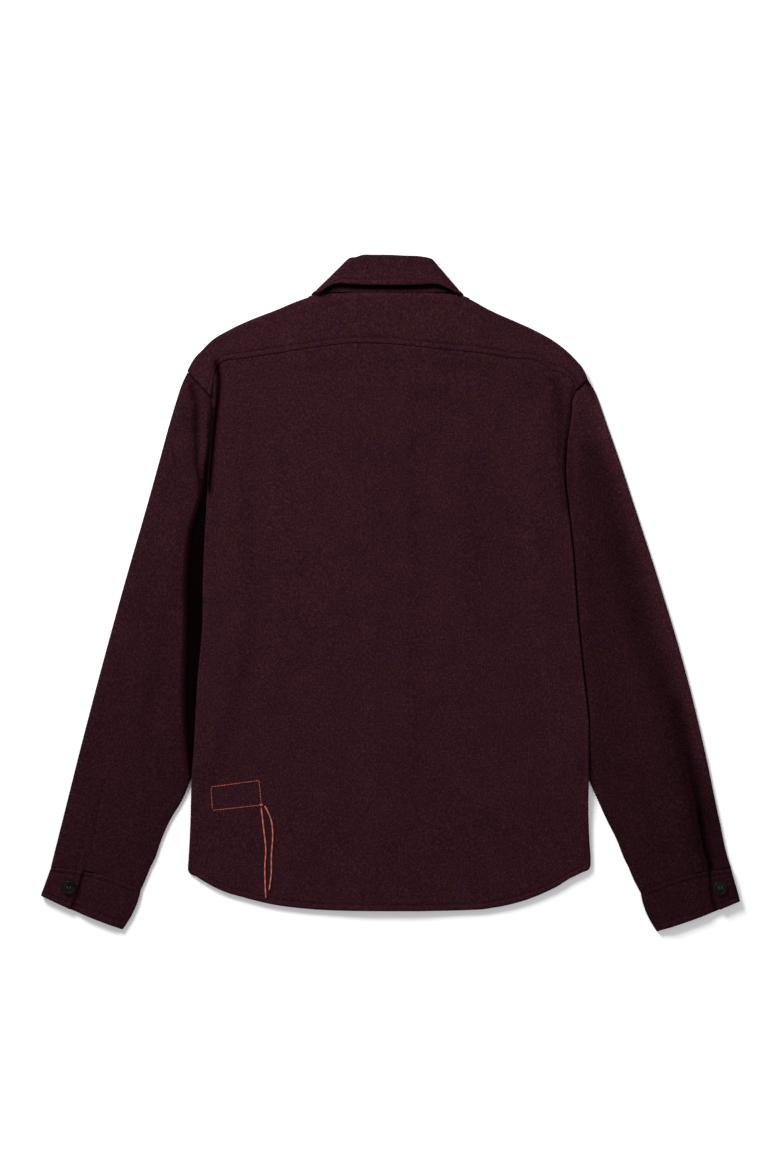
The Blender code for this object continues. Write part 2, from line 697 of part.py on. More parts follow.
def add_button(name, x, y, z, face_up):
    points, faces = [], []
    rings = BUTTON_PROFILE
    turn = 1 if face_up else -1
    start = z if face_up else z + BUTTON_THICK
    for share, rise in rings:
        for i in range(BUTTON_SIDES):
            angle = 2 * math.pi * i / BUTTON_SIDES
            radius = BUTTON_RADIUS * share
            height = start + turn * BUTTON_THICK * rise
            points.append((x + radius * math.cos(angle), y + radius * math.sin(angle), height))
    for ring in range(len(rings) - 1):
        for i in range(BUTTON_SIDES):
            j = (i + 1) % BUTTON_SIDES
            first, second = ring * BUTTON_SIDES, (ring + 1) * BUTTON_SIDES
            faces.append([first + i, first + j, second + j, second + i])
    last = (len(rings) - 1) * BUTTON_SIDES
    faces.append(list(range(BUTTON_SIDES))[::-1])
    faces.append(list(range(last, last + BUTTON_SIDES)))
    button = add_mesh(name, points, faces, HORN)
    points, faces = [], []
    for hole in range(4):
        angle = math.pi / 4 + hole * math.pi / 2
        middle = (x + HOLE_REACH * math.cos(angle), y + HOLE_REACH * math.sin(angle))
        first = len(points)
        for level in (z - 1, z + BUTTON_THICK + 1):
            for i in range(HOLE_SIDES):
                turn_angle = 2 * math.pi * i / HOLE_SIDES
                points.append((
                    middle[0] + HOLE_RADIUS * math.cos(turn_angle),
                    middle[1] + HOLE_RADIUS * math.sin(turn_angle), level,
                ))
        ring = [first + i for i in range(HOLE_SIDES)]
        upper = [i + HOLE_SIDES for i in ring]
        for i in range(HOLE_SIDES):
            j = (i + 1) % HOLE_SIDES
            faces.append([ring[i], ring[j], upper[j], upper[i]])
        faces += [ring[::-1], upper]
    cutter = add_mesh(name + "_holes", points, faces, HORN)
    cutter.hide_render = True
    cutter.display_type = "WIRE"
    cut = button.modifiers.new("holes", "BOOLEAN")
    cut.operation = "DIFFERENCE"
    cut.solver = "EXACT"
    cut.object = cutter
    return button


# Thread tails that hang from the stitched box, as x, y.
TAILS = {
    "thread_tail_1": (
        (-154.4, 124.0), (-151.6, 99.6), (-149.0, 74.4), (-150.2, 51.6), (-149.6, 27.6), (-149.0, 16.0),
    ),
    "thread_tail_2": (
        (-150.4, 126.0), (-146.4, 119.0), (-142.0, 107.0), (-140.6, 90.0), (-142.2, 67.2), (-142.4, 46.8),
        (-143.6, 35.0), (-145.0, 25.0),
    ),
}
TAIL_STEP = 5.0
TAIL_CLEAR = 0.5


def smooth_route(route):
    """Evenly spaced points on a smooth curve through a route."""
    route = np.array(route)
    ends = np.vstack([2 * route[0] - route[1], route, 2 * route[-1] - route[-2]])
    fine = []
    for before, first, last, after in zip(ends, ends[1:], ends[2:], ends[3:]):
        for t in np.arange(0, 1, 0.05):
            fine.append(0.5 * (
                2 * first + (last - before) * t + (2 * before - 5 * first + 4 * last - after) * t**2
                + (3 * first - before - 3 * last + after) * t**3
            ))
    fine = np.array([*fine, route[-1]])
    gone = np.concatenate([[0], np.cumsum(np.linalg.norm(np.diff(fine, axis=0), axis=1))])
    count = round(gone[-1] / TAIL_STEP)
    marks = np.linspace(0, gone[-1], count + 1)
    return np.array([[np.interp(m, gone, fine[:, k]) for k in (0, 1)] for m in marks])


def add_tail(name, route):
    data = bpy.data.curves.new(name, "CURVE")
    data.dimensions = "3D"
    data.bevel_depth = TAIL_RADIUS * MM
    data.bevel_resolution = 2
    data.use_fill_caps = True
    places = smooth_route(route)
    spline = data.splines.new("POLY")
    spline.points.add(len(places) - 1)
    for point, (x, y) in zip(spline.points, places):
        z = high(x, y) + CLOTH + TAIL_CLEAR + TAIL_RADIUS
        point.co = (*placed((x, y, z)), 1.0)
    data.materials.append(THREAD)
    made = bpy.data.objects.new(name, data)
    bpy.context.scene.collection.objects.link(made)
    return made


add_back()
add_yoke()
add_front(-1, "front_left")
add_front(1, "front_right")
add_collar_stand()
add_collar_leaf()
for side, word in ((-1, "left"), (1, "right")):
    add_sleeve(side, "sleeve_" + word)
    add_cuff(side, "cuff_" + word)
    cuff_top = 2 * CUFF_LAYER + CUFF_CLOTH + GAP
    add_button("cuff_button_" + word, *CUFF_BUTTONS[side], cuff_top, True)
for number in range(FRONT_BUTTONS):
    add_button(f"front_button_{number + 1}", 0.0, FIRST_BUTTON_Y - number * BUTTON_PITCH, 0.0, False)
for tail, tail_route in TAILS.items():
    add_tail(tail, tail_route)
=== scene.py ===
"""The looks of a wool shacket laid flat on its front, with its back up and its collar folded down.

Sizes are in millimetres on the garment's own plan: x from the centre back, y up from the hem and z up from
the surface that it lies on. placed() turns them into metres in the frame. Every piece of cloth is a thin
shell with two sides, on the form of its solid, with the creases, puffed seams and stitches added.
"""
import math

import bpy
import numpy as np
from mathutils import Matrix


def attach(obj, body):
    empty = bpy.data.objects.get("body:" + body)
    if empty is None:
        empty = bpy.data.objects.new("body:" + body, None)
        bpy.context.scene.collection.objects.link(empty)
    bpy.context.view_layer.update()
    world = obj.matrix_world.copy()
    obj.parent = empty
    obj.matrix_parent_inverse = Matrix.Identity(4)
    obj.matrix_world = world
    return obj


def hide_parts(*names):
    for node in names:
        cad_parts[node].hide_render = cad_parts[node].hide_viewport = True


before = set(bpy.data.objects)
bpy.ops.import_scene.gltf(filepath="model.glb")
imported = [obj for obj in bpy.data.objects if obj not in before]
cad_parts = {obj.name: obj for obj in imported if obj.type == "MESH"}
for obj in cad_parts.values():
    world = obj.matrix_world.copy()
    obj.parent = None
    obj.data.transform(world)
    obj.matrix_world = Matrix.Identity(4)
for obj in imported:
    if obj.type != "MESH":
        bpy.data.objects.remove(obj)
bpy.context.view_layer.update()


# Surface, light and camera.
# The garment lies on a white studio table under broad soft light from its upper left, and the camera looks
# straight down from three metres.
MM = 0.001
CENTRE_X = 0.6
CENTRE_Y = 380.05
VIEW_X, VIEW_Y = 0.0, 391.2
VIEW_HEIGHT = 3000.0
VIEW_LONG_SIDE = 1404.0
GARMENT_TOP = 9.0


def placed(points):
    """Plan millimetres to metres in the frame."""
    return (np.asarray(points, float) - [CENTRE_X, CENTRE_Y, 0.0]) * MM


def linear(hex_colour):
    """An sRGB hex colour as linear red, green, blue and alpha."""
    shares = [int(hex_colour[i:i + 2], 16) / 255 for i in (1, 3, 5)]
    return (*(s / 12.92 if s <= 0.04045 else ((s + 0.055) / 1.055) ** 2.4 for s in shares), 1.0)


def new_material(name, **settings):
    """A material and its node tree, with the settings of its shader."""
    made = bpy.data.materials.new(name)
    made.use_nodes = True
    tree = made.node_tree
    shader = tree.nodes["Principled BSDF"]
    for socket, value in settings.items():
        shader.inputs[socket.replace("_", " ")].default_value = value
    return made, tree, shader


def add_node(tree, kind, inputs=(), **settings):
    """A node with its settings. An input is a socket's name or number, with a value or another's output."""
    node = tree.nodes.new("ShaderNode" + kind)
    for setting, value in settings.items():
        setattr(node, setting, value)
    for socket, value in dict(inputs).items():
        if isinstance(value, bpy.types.NodeSocket):
            tree.links.new(value, node.inputs[socket])
        else:
            node.inputs[socket].default_value = value
    return node


def add_object(name, data):
    """An object in the scene."""
    made = bpy.data.objects.new(name, data)
    bpy.context.scene.collection.objects.link(made)
    return made


# Painted board: matt white, with no grain to see. In metres, a hair below the cloth that rests on it.
board = new_material("painted_board", Base_Color=linear("#F4F4F4"), Roughness=0.9)[0]
TABLE_HALF = 4.0
TABLE_Z = -0.0004
table_mesh = bpy.data.meshes.new("table_top")
table_mesh.from_pydata(
    [(x * TABLE_HALF, y * TABLE_HALF, TABLE_Z) for x, y in ((-1, -1), (1, -1), (1, 1), (-1, 1))], [],
    [(0, 1, 2, 3)],
)
table_mesh.materials.append(board)
table_top = add_object("table_top", table_mesh)

ROOM_LIGHT = 0.42
world = bpy.data.worlds.new("studio")
world.use_nodes = True
world.node_tree.nodes["Background"].inputs["Color"].default_value = linear("#F6F7FA")
world.node_tree.nodes["Background"].inputs["Strength"].default_value = ROOM_LIGHT
bpy.context.scene.world = world
bpy.context.scene.view_settings.view_transform = "Standard"

# Soft boxes, as the name, its place in metres, its size in metres and its power in watts.
SOFT_BOXES = (
    ("key_light", (-1.35, 2.0, 1.6), 1.1, 140.0),
    ("fill_light", (0.9, -1.5, 2.4), 1.6, 22.0),
)
for light_name, light_place, light_size, light_power in SOFT_BOXES:
    light_data = bpy.data.lights.new(light_name, "AREA")
    light_data.shape = "SQUARE"
    light_data.size = light_size
    light_data.energy = light_power
    light = add_object(light_name, light_data)
    light.location = light_place
    light.visible_camera = False
    aim = -light.location.normalized()
    light.rotation_euler = aim.to_track_quat("-Z", "Y").to_euler()

FILM = 36.0
lens = bpy.data.cameras.new("camera")
lens.sensor_width = FILM
lens.lens = FILM * (VIEW_HEIGHT - GARMENT_TOP) / VIEW_LONG_SIDE
lens.clip_end = 20.0
camera = add_object("camera", lens)
camera.location = placed((VIEW_X, VIEW_Y, VIEW_HEIGHT))
bpy.context.scene.camera = camera


# Thread tails.
# Two ends of the heavy orange thread that sews the box on the lower back hang from the box's corner. Each is
# limp, about 110 mm long, cut at its end, and lies loose on the back.
CLOTH = 2.2
GAP = 0.3
LAYER = CLOTH + GAP
LAYER_CLEAR = 0.5
HALF_PLACKET = 16.0
# How high the body is lifted by what lies under it, and by its own loft.
SLEEVE_LIFT = 5.0
BUTTON_LIFT = 2.9
COLLAR_LIFT = 4.0
NECK_LIFT = 10.1
BODY_LOFT = 6.0
HEM_LOFT = 3.2
EDGE_LOFT = 2.6
LOFT_BLEND = 1.6
# Where each lift sets in, as the y or the distance at its start and at its full height.
SLEEVE_START_Y = (76, 136)
SLEEVE_SLOPE = (5, 42)
BUTTONS_START_Y = (40, 100)
BUTTONS_END_X = (HALF_PLACKET, 46)
COLLAR_START_Y = (598, 634)
COLLAR_END_X = (104, 150)
NECK_START_Y = (600, 668)
NECK_END_X = (92, 190)
OVERLAP_END_X = (HALF_PLACKET + 3, 90)
LOFT_START_Y = (10, 130)
EDGE_START_Y = (90, 200)
EDGE_END_Y = (560, 640)
EDGE_SLOPE = (26, 90)
FOLD_FADE = (90, 80)
# Body edges from the armhole down, as y, x.
LEFT_EDGE = (
    (50.4, -243.6), (66.0, -242.4), (85.2, -241.2), (109.2, -240.0), (133.2, -239.2), (158.4, -238.4),
    (204.0, -235.2), (270.0, -231.6), (337.2, -225.6), (404.4, -224.4), (472.8, -220.8),
    (493.2, -219.6), (526.8, -217.2), (554.4, -213.6), (583.2, -211.2), (606.0, -210.8),
    (618.0, -214.8), (648.0, -243.6),
)
RIGHT_EDGE = (
    (51.6, 241.2), (67.2, 241.2), (85.2, 240.0), (109.2, 238.8), (133.2, 238.2), (163.2, 238.8),
    (224.4, 238.8), (292.8, 231.6), (367.2, 224.4), (421.2, 220.8), (486.0, 213.6), (518.4, 210.0),
    (553.2, 211.2), (589.2, 216.0), (625.2, 223.2), (638.4, 237.6),
)
# How far the sleeve goes under the body, as y, width.
TUCK = (
    (60.0, -30.0), (133.0, -10.0), (156.0, 1.0), (229.0, 23.0), (325.0, 37.0), (403.0, 41.0),
    (480.0, 30.0), (560.0, 22.0), (618.0, 17.0), (648.0, 17.0),
)
# Slow folds down the back, as the x of the lower end, lean, half width, height, and the y of both ends.
BACK_FOLDS = (
    (-26.0, -0.04, 26.0, 0.8, 380.0, 640.0), (94.0, 0.03, 30.0, 0.8, 230.0, 560.0),
)


def smooth(value):
    """0 to 1 with level ends."""
    held = np.clip(value, 0.0, 1.0)
    return held * held * (3.0 - 2.0 * held)


def ramp(value, start, end):
    """0 at the start and 1 at the end of a range, with level ends."""
    return smooth((np.asarray(value, float) - start) / (end - start))


def read(table, value):
    """The second column of a table at values of the first, read along a smooth line."""
    keys, heights = np.array(table, float).T
    slopes = np.gradient(heights, keys)
    value = np.asarray(value, float)
    index = np.clip(np.searchsorted(keys, value) - 1, 0, len(keys) - 2)
    step = keys[index + 1] - keys[index]
    part = np.clip((value - keys[index]) / step, 0.0, 1.0)
    rise = heights[index + 1] - heights[index]
    limit = 3.0 * np.abs(rise / step)
    first = np.clip(slopes[index], -limit, limit)
    last = np.clip(slopes[index + 1], -limit, limit)
    curved = (first * (1 - part) - last * part) * step + (2 * part - 1) * rise
    return heights[index] + part * rise + part * (1 - part) * curved


def inside_of(x, y):
    """How far a point is in from the nearer side edge of the body."""
    return np.minimum(x - read(LEFT_EDGE, y), read(RIGHT_EDGE, y) - x)


def low(x, y):
    """Underside of the body, where it passes over the sleeves, the front buttons and the collar."""
    past_sleeve = inside_of(x, y) - read(TUCK, y)
    over_sleeve = SLEEVE_LIFT * (1 - ramp(past_sleeve, *SLEEVE_SLOPE)) * ramp(y, *SLEEVE_START_Y)
    over_buttons = BUTTON_LIFT * (1 - ramp(np.abs(x), *BUTTONS_END_X)) * ramp(y, *BUTTONS_START_Y)
    over_collar = COLLAR_LIFT * ramp(y, *COLLAR_START_Y) * (1 - ramp(np.abs(x), *COLLAR_END_X))
    return np.maximum(np.maximum(over_sleeve, over_buttons), over_collar)


def high(x, y):
    """Underside of the back and the yoke."""
    overlap = 1 - ramp(np.abs(x), *OVERLAP_END_X)
    stack = low(x, y) + LAYER * (1 + overlap) + LAYER_CLEAR
    loft = HEM_LOFT + (BODY_LOFT - HEM_LOFT) * ramp(y, *LOFT_START_Y)
    side = EDGE_LOFT * ramp(y, *EDGE_START_Y) * (1 - ramp(inside_of(x, y), *EDGE_SLOPE))
    side = side * (1 - ramp(y, *EDGE_END_Y))
    neck = NECK_LIFT * ramp(y, *NECK_START_Y) * (1 - ramp(np.abs(x), *NECK_END_X))
    folds = 0.0
    for middle_x, lean, width, rise, start_y, end_y in BACK_FOLDS:
        off = (x - middle_x - lean * (y - start_y)) / width
        fade = ramp(y, start_y, start_y + FOLD_FADE[0]) * (1 - ramp(y, end_y - FOLD_FADE[1], end_y))
        folds = folds + rise * np.exp(-off * off) * fade
    over_loft = (stack + side + loft + np.hypot(stack + side - loft, LOFT_BLEND)) / 2
    return np.maximum(over_loft, neck) + folds


TAIL_RADIUS = 0.8
TAIL_CLEAR = 0.5
TAIL_STEP = 5.0
TAILS = {
    "thread_tail_1": (
        (-154.4, 124.0), (-151.6, 99.6), (-149.0, 74.4), (-150.2, 51.6), (-149.6, 27.6), (-149.0, 16.0),
    ),
    "thread_tail_2": (
        (-150.4, 126.0), (-146.4, 119.0), (-142.0, 107.0), (-140.6, 90.0), (-142.2, 67.2), (-142.4, 46.8),
        (-143.6, 35.0), (-145.0, 25.0),
    ),
}


def two_tones(tree, share, tones, places=(0.0, 1.0)):
    """The colour between two hex colours at a share that another node gives."""
    made = add_node(tree, "ValToRGB", {"Fac": share})
    for stop, tone, place in zip(made.color_ramp.elements, tones, places):
        stop.position, stop.color = place, linear(tone)
    return made.outputs["Color"]


# Spun polyester thread, twisted from plies: a saturated orange with a soft shine and a fine diagonal ridge.
thread, thread_tree, thread_shader = new_material("orange_spun_thread", Roughness=0.55, Sheen_Weight=0.3)
THREAD_TWIST_MM = 2.6
thread_place = add_node(thread_tree, "TexCoord")
thread_plies = add_node(
    thread_tree, "TexWave",
    {"Vector": thread_place.outputs["Object"], "Scale": 1000 / THREAD_TWIST_MM / 6.28, "Distortion": 1.0},
    bands_direction="DIAGONAL",
)
thread_colour = two_tones(thread_tree, thread_plies.outputs["Fac"], ("#80351E", "#B05030"))
thread_bump = add_node(
    thread_tree, "Bump", {"Height": thread_plies.outputs["Fac"], "Strength": 0.5, "Distance": 0.3 * MM},
)
thread_tree.links.new(thread_colour, thread_shader.inputs["Base Color"])
thread_tree.links.new(thread_bump.outputs["Normal"], thread_shader.inputs["Normal"])


def curve_at(before, first, last, after, t):
    """Where a smooth curve through four points is at t, from 0 at the second to 1 at the third."""
    return 0.5 * (
        2 * first + (last - before) * t + (2 * before - 5 * first + 4 * last - after) * t**2
        + (3 * first - before - 3 * last + after) * t**3
    )


def gone_along(line):
    """How far along a line each of its points is."""
    return np.concatenate([[0], np.cumsum(np.linalg.norm(np.diff(line, axis=0), axis=1))])


def at_marks(line, gone, marks):
    """Points of a line at distances along it."""
    return np.stack([np.interp(marks, gone, column) for column in line.T], axis=-1)


def smooth_route(route, spacing):
    """Evenly spaced points on a smooth curve through a route."""
    route = np.array(route, float)
    ends = np.vstack([2 * route[0] - route[1], route, 2 * route[-1] - route[-2]])
    fours = zip(ends, ends[1:], ends[2:], ends[3:])
    fine = np.array([*(curve_at(*four, t) for four in fours for t in np.arange(0, 1, 0.05)), route[-1]])
    gone = gone_along(fine)
    return at_marks(fine, gone, np.linspace(0, gone[-1], round(gone[-1] / spacing) + 1))


def add_thread(name, lines, radius, roundness, finish, capped=True):
    """Round threads along lines of plan points, as one curve."""
    curve = bpy.data.curves.new(name, "CURVE")
    curve.dimensions = "3D"
    curve.bevel_depth = radius * MM
    curve.bevel_resolution = roundness
    curve.use_fill_caps = capped
    for line in lines:
        spline = curve.splines.new("POLY")
        spline.points.add(len(line) - 1)
        for spline_point, place in zip(spline.points, placed(line)):
            spline_point.co = (*place, 1.0)
    curve.materials.append(finish)
    return add_object(name, curve)


for tail_name, tail_route in TAILS.items():
    tail_plan = smooth_route(tail_route, TAIL_STEP)
    tail_z = high(*tail_plan.T) + CLOTH + TAIL_CLEAR + TAIL_RADIUS
    tail_line = np.column_stack([tail_plan, tail_z])
    tail = add_thread(tail_name + "_thread", [tail_line], TAIL_RADIUS, 4, thread)
    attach(tail, "root")
    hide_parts(tail_name)


# Back panel.
# One cut piece of brushed wool flannel of about 450 g/m2, from the yoke seam to the curved shirt-tail hem.
# Its sides turn round to the front, and the hem is turned up twice and stitched.
CLOTH_HALF = CLOTH / 2
TOP_EDGE = (
    (-243.6, 648.0), (-236.4, 661.2), (-225.6, 673.2), (-213.6, 685.2), (-194.4, 697.2),
    (-169.2, 709.2), (-138.0, 721.2), (-104.4, 734.4), (-92.4, 738.0), (-60.0, 740.4),
    (0.0, 741.6), (60.0, 740.4), (91.2, 736.0), (120.0, 721.2), (147.6, 709.2),
    (174.0, 697.2), (195.6, 685.2), (211.2, 673.2), (223.2, 661.2), (232.8, 649.2), (237.6, 638.4),
)
YOKE_SEAM = (
    (-214.8, 618.0), (-211.2, 642.0), (-205.2, 655.2), (-194.4, 661.2), (-183.6, 662.4),
    (-141.6, 668.4), (-110.4, 673.2), (-72.0, 678.5), (-52.8, 681.0), (0.0, 680.4), (26.4, 678.0),
    (64.8, 673.7), (106.8, 669.6), (153.6, 663.0), (170.4, 662.4), (180.0, 658.8), (189.6, 651.6),
    (211.2, 642.0), (220.8, 632.4), (223.2, 625.2),
)
HEM = (
    (-243.6, 50.4), (-237.6, 44.4), (-226.8, 37.2), (-214.8, 30.0), (-199.2, 22.8), (-175.2, 15.6),
    (-146.4, 8.4), (-90.0, 1.2), (0.0, -0.6), (109.2, 1.2), (148.8, 8.4), (171.6, 15.6),
    (188.4, 22.8), (202.8, 30.0), (213.6, 37.2), (228.0, 44.4), (241.2, 51.6),
)
HEM_STITCH = 7.0
# How round the cloth's edge is at a seam, where 1 is a free edge, and how far it draws back from the seam.
SEAM_ROUND = 0.45
SEAM_PARTING = 0.1
# The sides roll under as far as SIDE_TURN, and stop below the armhole.
TURN_TOP_Y = 606.0
ROLL_BELOW_SEAM = 1.0
SIDE_TURN = 10.0
HEM_CORNER = 8.0
# A distance that no seam's pucker reaches.
FAR = 30.0
EDGE_PARTS = (0.015, 0.018, 0.021, 0.025, 0.029, 0.034, 0.040)
ROLL_ANGLES = np.arange(-90, 91, 15)
# The deep gap down the left side of the body, as y, x. Shade painted into the cloth along it leaves it nearly
# black.
LEFT_GAP = (
    (490.0, -217.5), (517.0, -216.0), (546.0, -213.5), (570.0, -211.5), (594.0, -209.0), (615.6, -206.8),
    (637.0, -205.6), (654.0, -207.5), (664.0, -210.0),
)
# Creases that the soft cloth keeps near the armholes, each a ridge or, with a height below 0, a valley, as
# the line's y and x, half width and height.
BODY_CREASES = (
    (((470, 205), (518, 203), (562, 196), (592, 188), (619, 182), (648, 178)), 9.0, 1.5),
    (((500, -196), (560, -196), (612, -197), (650, -200)), 8.0, 0.9),
    (LEFT_GAP, 3.0, -1.6),
    (((486, 213), (518, 212), (552, 208), (584, 207), (612, 203), (645, 194)), 7.0, -1.3),
    (((430, -150), (520, -140), (620, -128)), 22.0, -0.5),
    (((300, -60), (420, -48), (560, -40), (650, -30)), 18.0, -0.35),
    (((90, 150), (200, 160), (330, 150)), 26.0, 0.5),
    (((60, -90), (160, -70), (300, -80)), 30.0, 0.4),
)

# Brushed wool flannel, spun from wine, plum and near black fibres. The nap hides the weave, leaving a
# speckle of one to two millimetres, slow patches of a redder and a bluer wine, and a soft bloom at grazing
# light. A point attribute scales the colour with painted shade in gaps, grooves and under the collar's edge,
# painted light along some edges, and a painted shade or light over whole pieces.
WOOL_SPECKLE_MM = 2.2
WOOL_FIBRE_MM = 1.2
WOOL_CLOUD_MM = 38.0
WOOL_HUE_MM = 9.0
# Shares of red, green and blue in the bluer and the redder patches, each with its place on the ramp.
WOOL_HUES = ((0.40, (0.97, 0.90, 1.14)), (0.62, (1.06, 1.06, 0.90)))


def wool_cloth(name, dark, middle, light):
    """Flannel with its three fibre colours."""
    made, tree, shader = new_material(
        name, Roughness=1.0, Specular_IOR_Level=0.0, Sheen_Weight=0.03, Sheen_Roughness=0.4,
        Sheen_Tint=linear("#B98A92"),
    )
    place = add_node(tree, "TexCoord")
    speckle = add_node(
        tree, "TexNoise",
        {"Vector": place.outputs["Object"], "Scale": 1000 / WOOL_SPECKLE_MM, "Detail": 3.0,
         "Roughness": 0.7},
    )
    fibre_turn = add_node(
        tree, "Mapping", {"Vector": place.outputs["Object"], "Scale": (1.0, 0.32, 1.0)},
    )
    fibre = add_node(
        tree, "TexNoise",
        {"Vector": fibre_turn.outputs["Vector"], "Scale": 1000 / WOOL_FIBRE_MM, "Detail": 2.0,
         "Roughness": 0.6, "Distortion": 0.6},
    )
    cloud = add_node(
        tree, "TexNoise",
        {"Vector": place.outputs["Object"], "Scale": 1000 / WOOL_CLOUD_MM, "Detail": 2.0, "Roughness": 0.5},
    )
    mixed = add_node(
        tree, "Math", {0: speckle.outputs["Fac"], 1: 0.55, 2: 0.02}, operation="MULTIPLY_ADD",
    )
    mixed_fibre = add_node(
        tree, "Math", {0: fibre.outputs["Fac"], 1: 0.30, 2: mixed.outputs[0]}, operation="MULTIPLY_ADD",
    )
    mixed_cloud = add_node(
        tree, "Math", {0: cloud.outputs["Fac"], 1: 0.05, 2: mixed_fibre.outputs[0]},
        operation="MULTIPLY_ADD",
    )
    colour = add_node(tree, "ValToRGB", {"Fac": mixed_cloud.outputs[0]})
    ramp_stops = colour.color_ramp.elements
    ramp_stops[0].position, ramp_stops[0].color = 0.33, linear(dark)
    ramp_stops[1].position, ramp_stops[1].color = 0.63, linear(light)
    middle_stop = ramp_stops.new(0.475)
    middle_stop.color = linear(middle)
    nap_bump_and_painted_shade = add_node(
        tree, "Bump", {"Height": mixed_fibre.outputs[0], "Strength": 0.55, "Distance": 0.9 * MM},
    )
    hue = add_node(
        tree, "TexNoise",
        {"Vector": place.outputs["Object"], "Scale": 1000 / WOOL_HUE_MM, "Detail": 4.0, "Roughness": 0.75},
    )
    blend = add_node(tree, "ValToRGB", {"Fac": hue.outputs["Fac"]})
    for stop, (place_on_ramp, share) in zip(blend.color_ramp.elements, WOOL_HUES):
        stop.position, stop.color = place_on_ramp, (*share, 1.0)
    dyed = add_node(
        tree, "VectorMath", {0: colour.outputs["Color"], 1: blend.outputs["Color"]}, operation="MULTIPLY",
    )
    # The colour scaled by the painted shade and light that sew() stores on the points.
    painted_share = add_node(tree, "Attribute", attribute_name="painted_shade_share")
    shaded = add_node(
        tree, "VectorMath", {0: dyed.outputs["Vector"], "Scale": painted_share.outputs["Fac"]}, operation="SCALE",
    )
    tree.links.new(shaded.outputs["Vector"], shader.inputs["Base Color"])
    tree.links.new(nap_bump_and_painted_shade.outputs["Normal"], shader.inputs["Normal"])
    return made


wool = wool_cloth("brushed_wool_flannel", "#150A0C", "#251115", "#3B1E25")


CREASE_FADE = 0.3
SHADE_FADES = (0.12, 0.3)


def creases(x, y, table):
    """Height that the creases of a table add at points."""
    total = np.zeros(np.broadcast(x, y).shape)
    for line, width, rise in table:
        start, end = line[0][0], line[-1][0]
        fade = CREASE_FADE * (end - start)
        held = ramp(y, start, start + fade) * (1 - ramp(y, end - fade, end))
        off = (x - read(line, y)) / width
        total = total + rise * np.exp(-off * off) * held
    return total


# Lines of painted shade on the back and yoke, as the line's y and x, half width and the share of light lost.
# Below 0 the share is painted light gained, as along the right edge.
BODY_SHADES = (
    (LEFT_GAP, 3.8, 0.97),
    (((470, 214), (518, 212), (552, 208), (584, 207), (612, 203), (645, 194)), 8.5, 0.36),
    (
        ((90, 240), (163, 238.8), (224, 238.8), (293, 231.6), (367, 224.4), (421, 220.8), (480, 214.5)),
        3.0, -0.6,
    ),
    (((560, 190), (600, 178), (640, 170)), 14.0, 0.10),
    (((400, -30), (520, -30), (650, -28)), 16.0, 0.05),
    (((300, 98), (420, 104), (560, 106)), 18.0, 0.06),
)


def painted_light_along(x, y, table, base=1.0):
    """The share of its own colour that the cloth keeps at points beside the lines of a table, where shade is
    painted, or light where the share lost is below 0.
    """
    kept = np.ones(np.broadcast(x, y).shape) * base
    for line, width, lost in table:
        start, end = line[0][0], line[-1][0]
        fade = SHADE_FADES[0] * (end - start)
        held = ramp(y, start, start + fade) * (1 - ramp(y, end - fade * SHADE_FADES[1], end))
        kept = kept * (1 - lost * held * np.exp(-(((x - read(line, y)) / width) ** 2)))
    return kept


def rumple(x, y):
    """Slow uneven waves of cloth that was folded before."""
    first = np.sin(x / 31 + 1.3 * np.sin(y / 83)) * np.sin(y / 67 + 0.8 * np.sin(x / 59))
    second = np.sin(x / 17 - y / 71 + 0.7) * np.sin(y / 23 + x / 97)
    return 0.22 * first + 0.07 * second


SEAM_SWELL = 0.55
STITCH_SINK = 0.75
STITCH_SINK_WIDTH = 1.3


def puffed(distance, stitch):
    """Height of a seam that a row of stitches holds down, by distance in from its edge."""
    line = np.exp(-(((distance - stitch) / STITCH_SINK_WIDTH) ** 2))
    swell = np.sin(np.pi * np.clip(distance / stitch, 0, 1)) ** 0.8
    return SEAM_SWELL * swell - STITCH_SINK * line


def rounded(distance):
    """How much each side of the cloth draws in towards its edge, so that the edge is round."""
    near = 1 - np.clip(distance / CLOTH_HALF, 0, 1)
    return CLOTH_HALF * 0.9 * (1 - np.sqrt(1 - near * near))


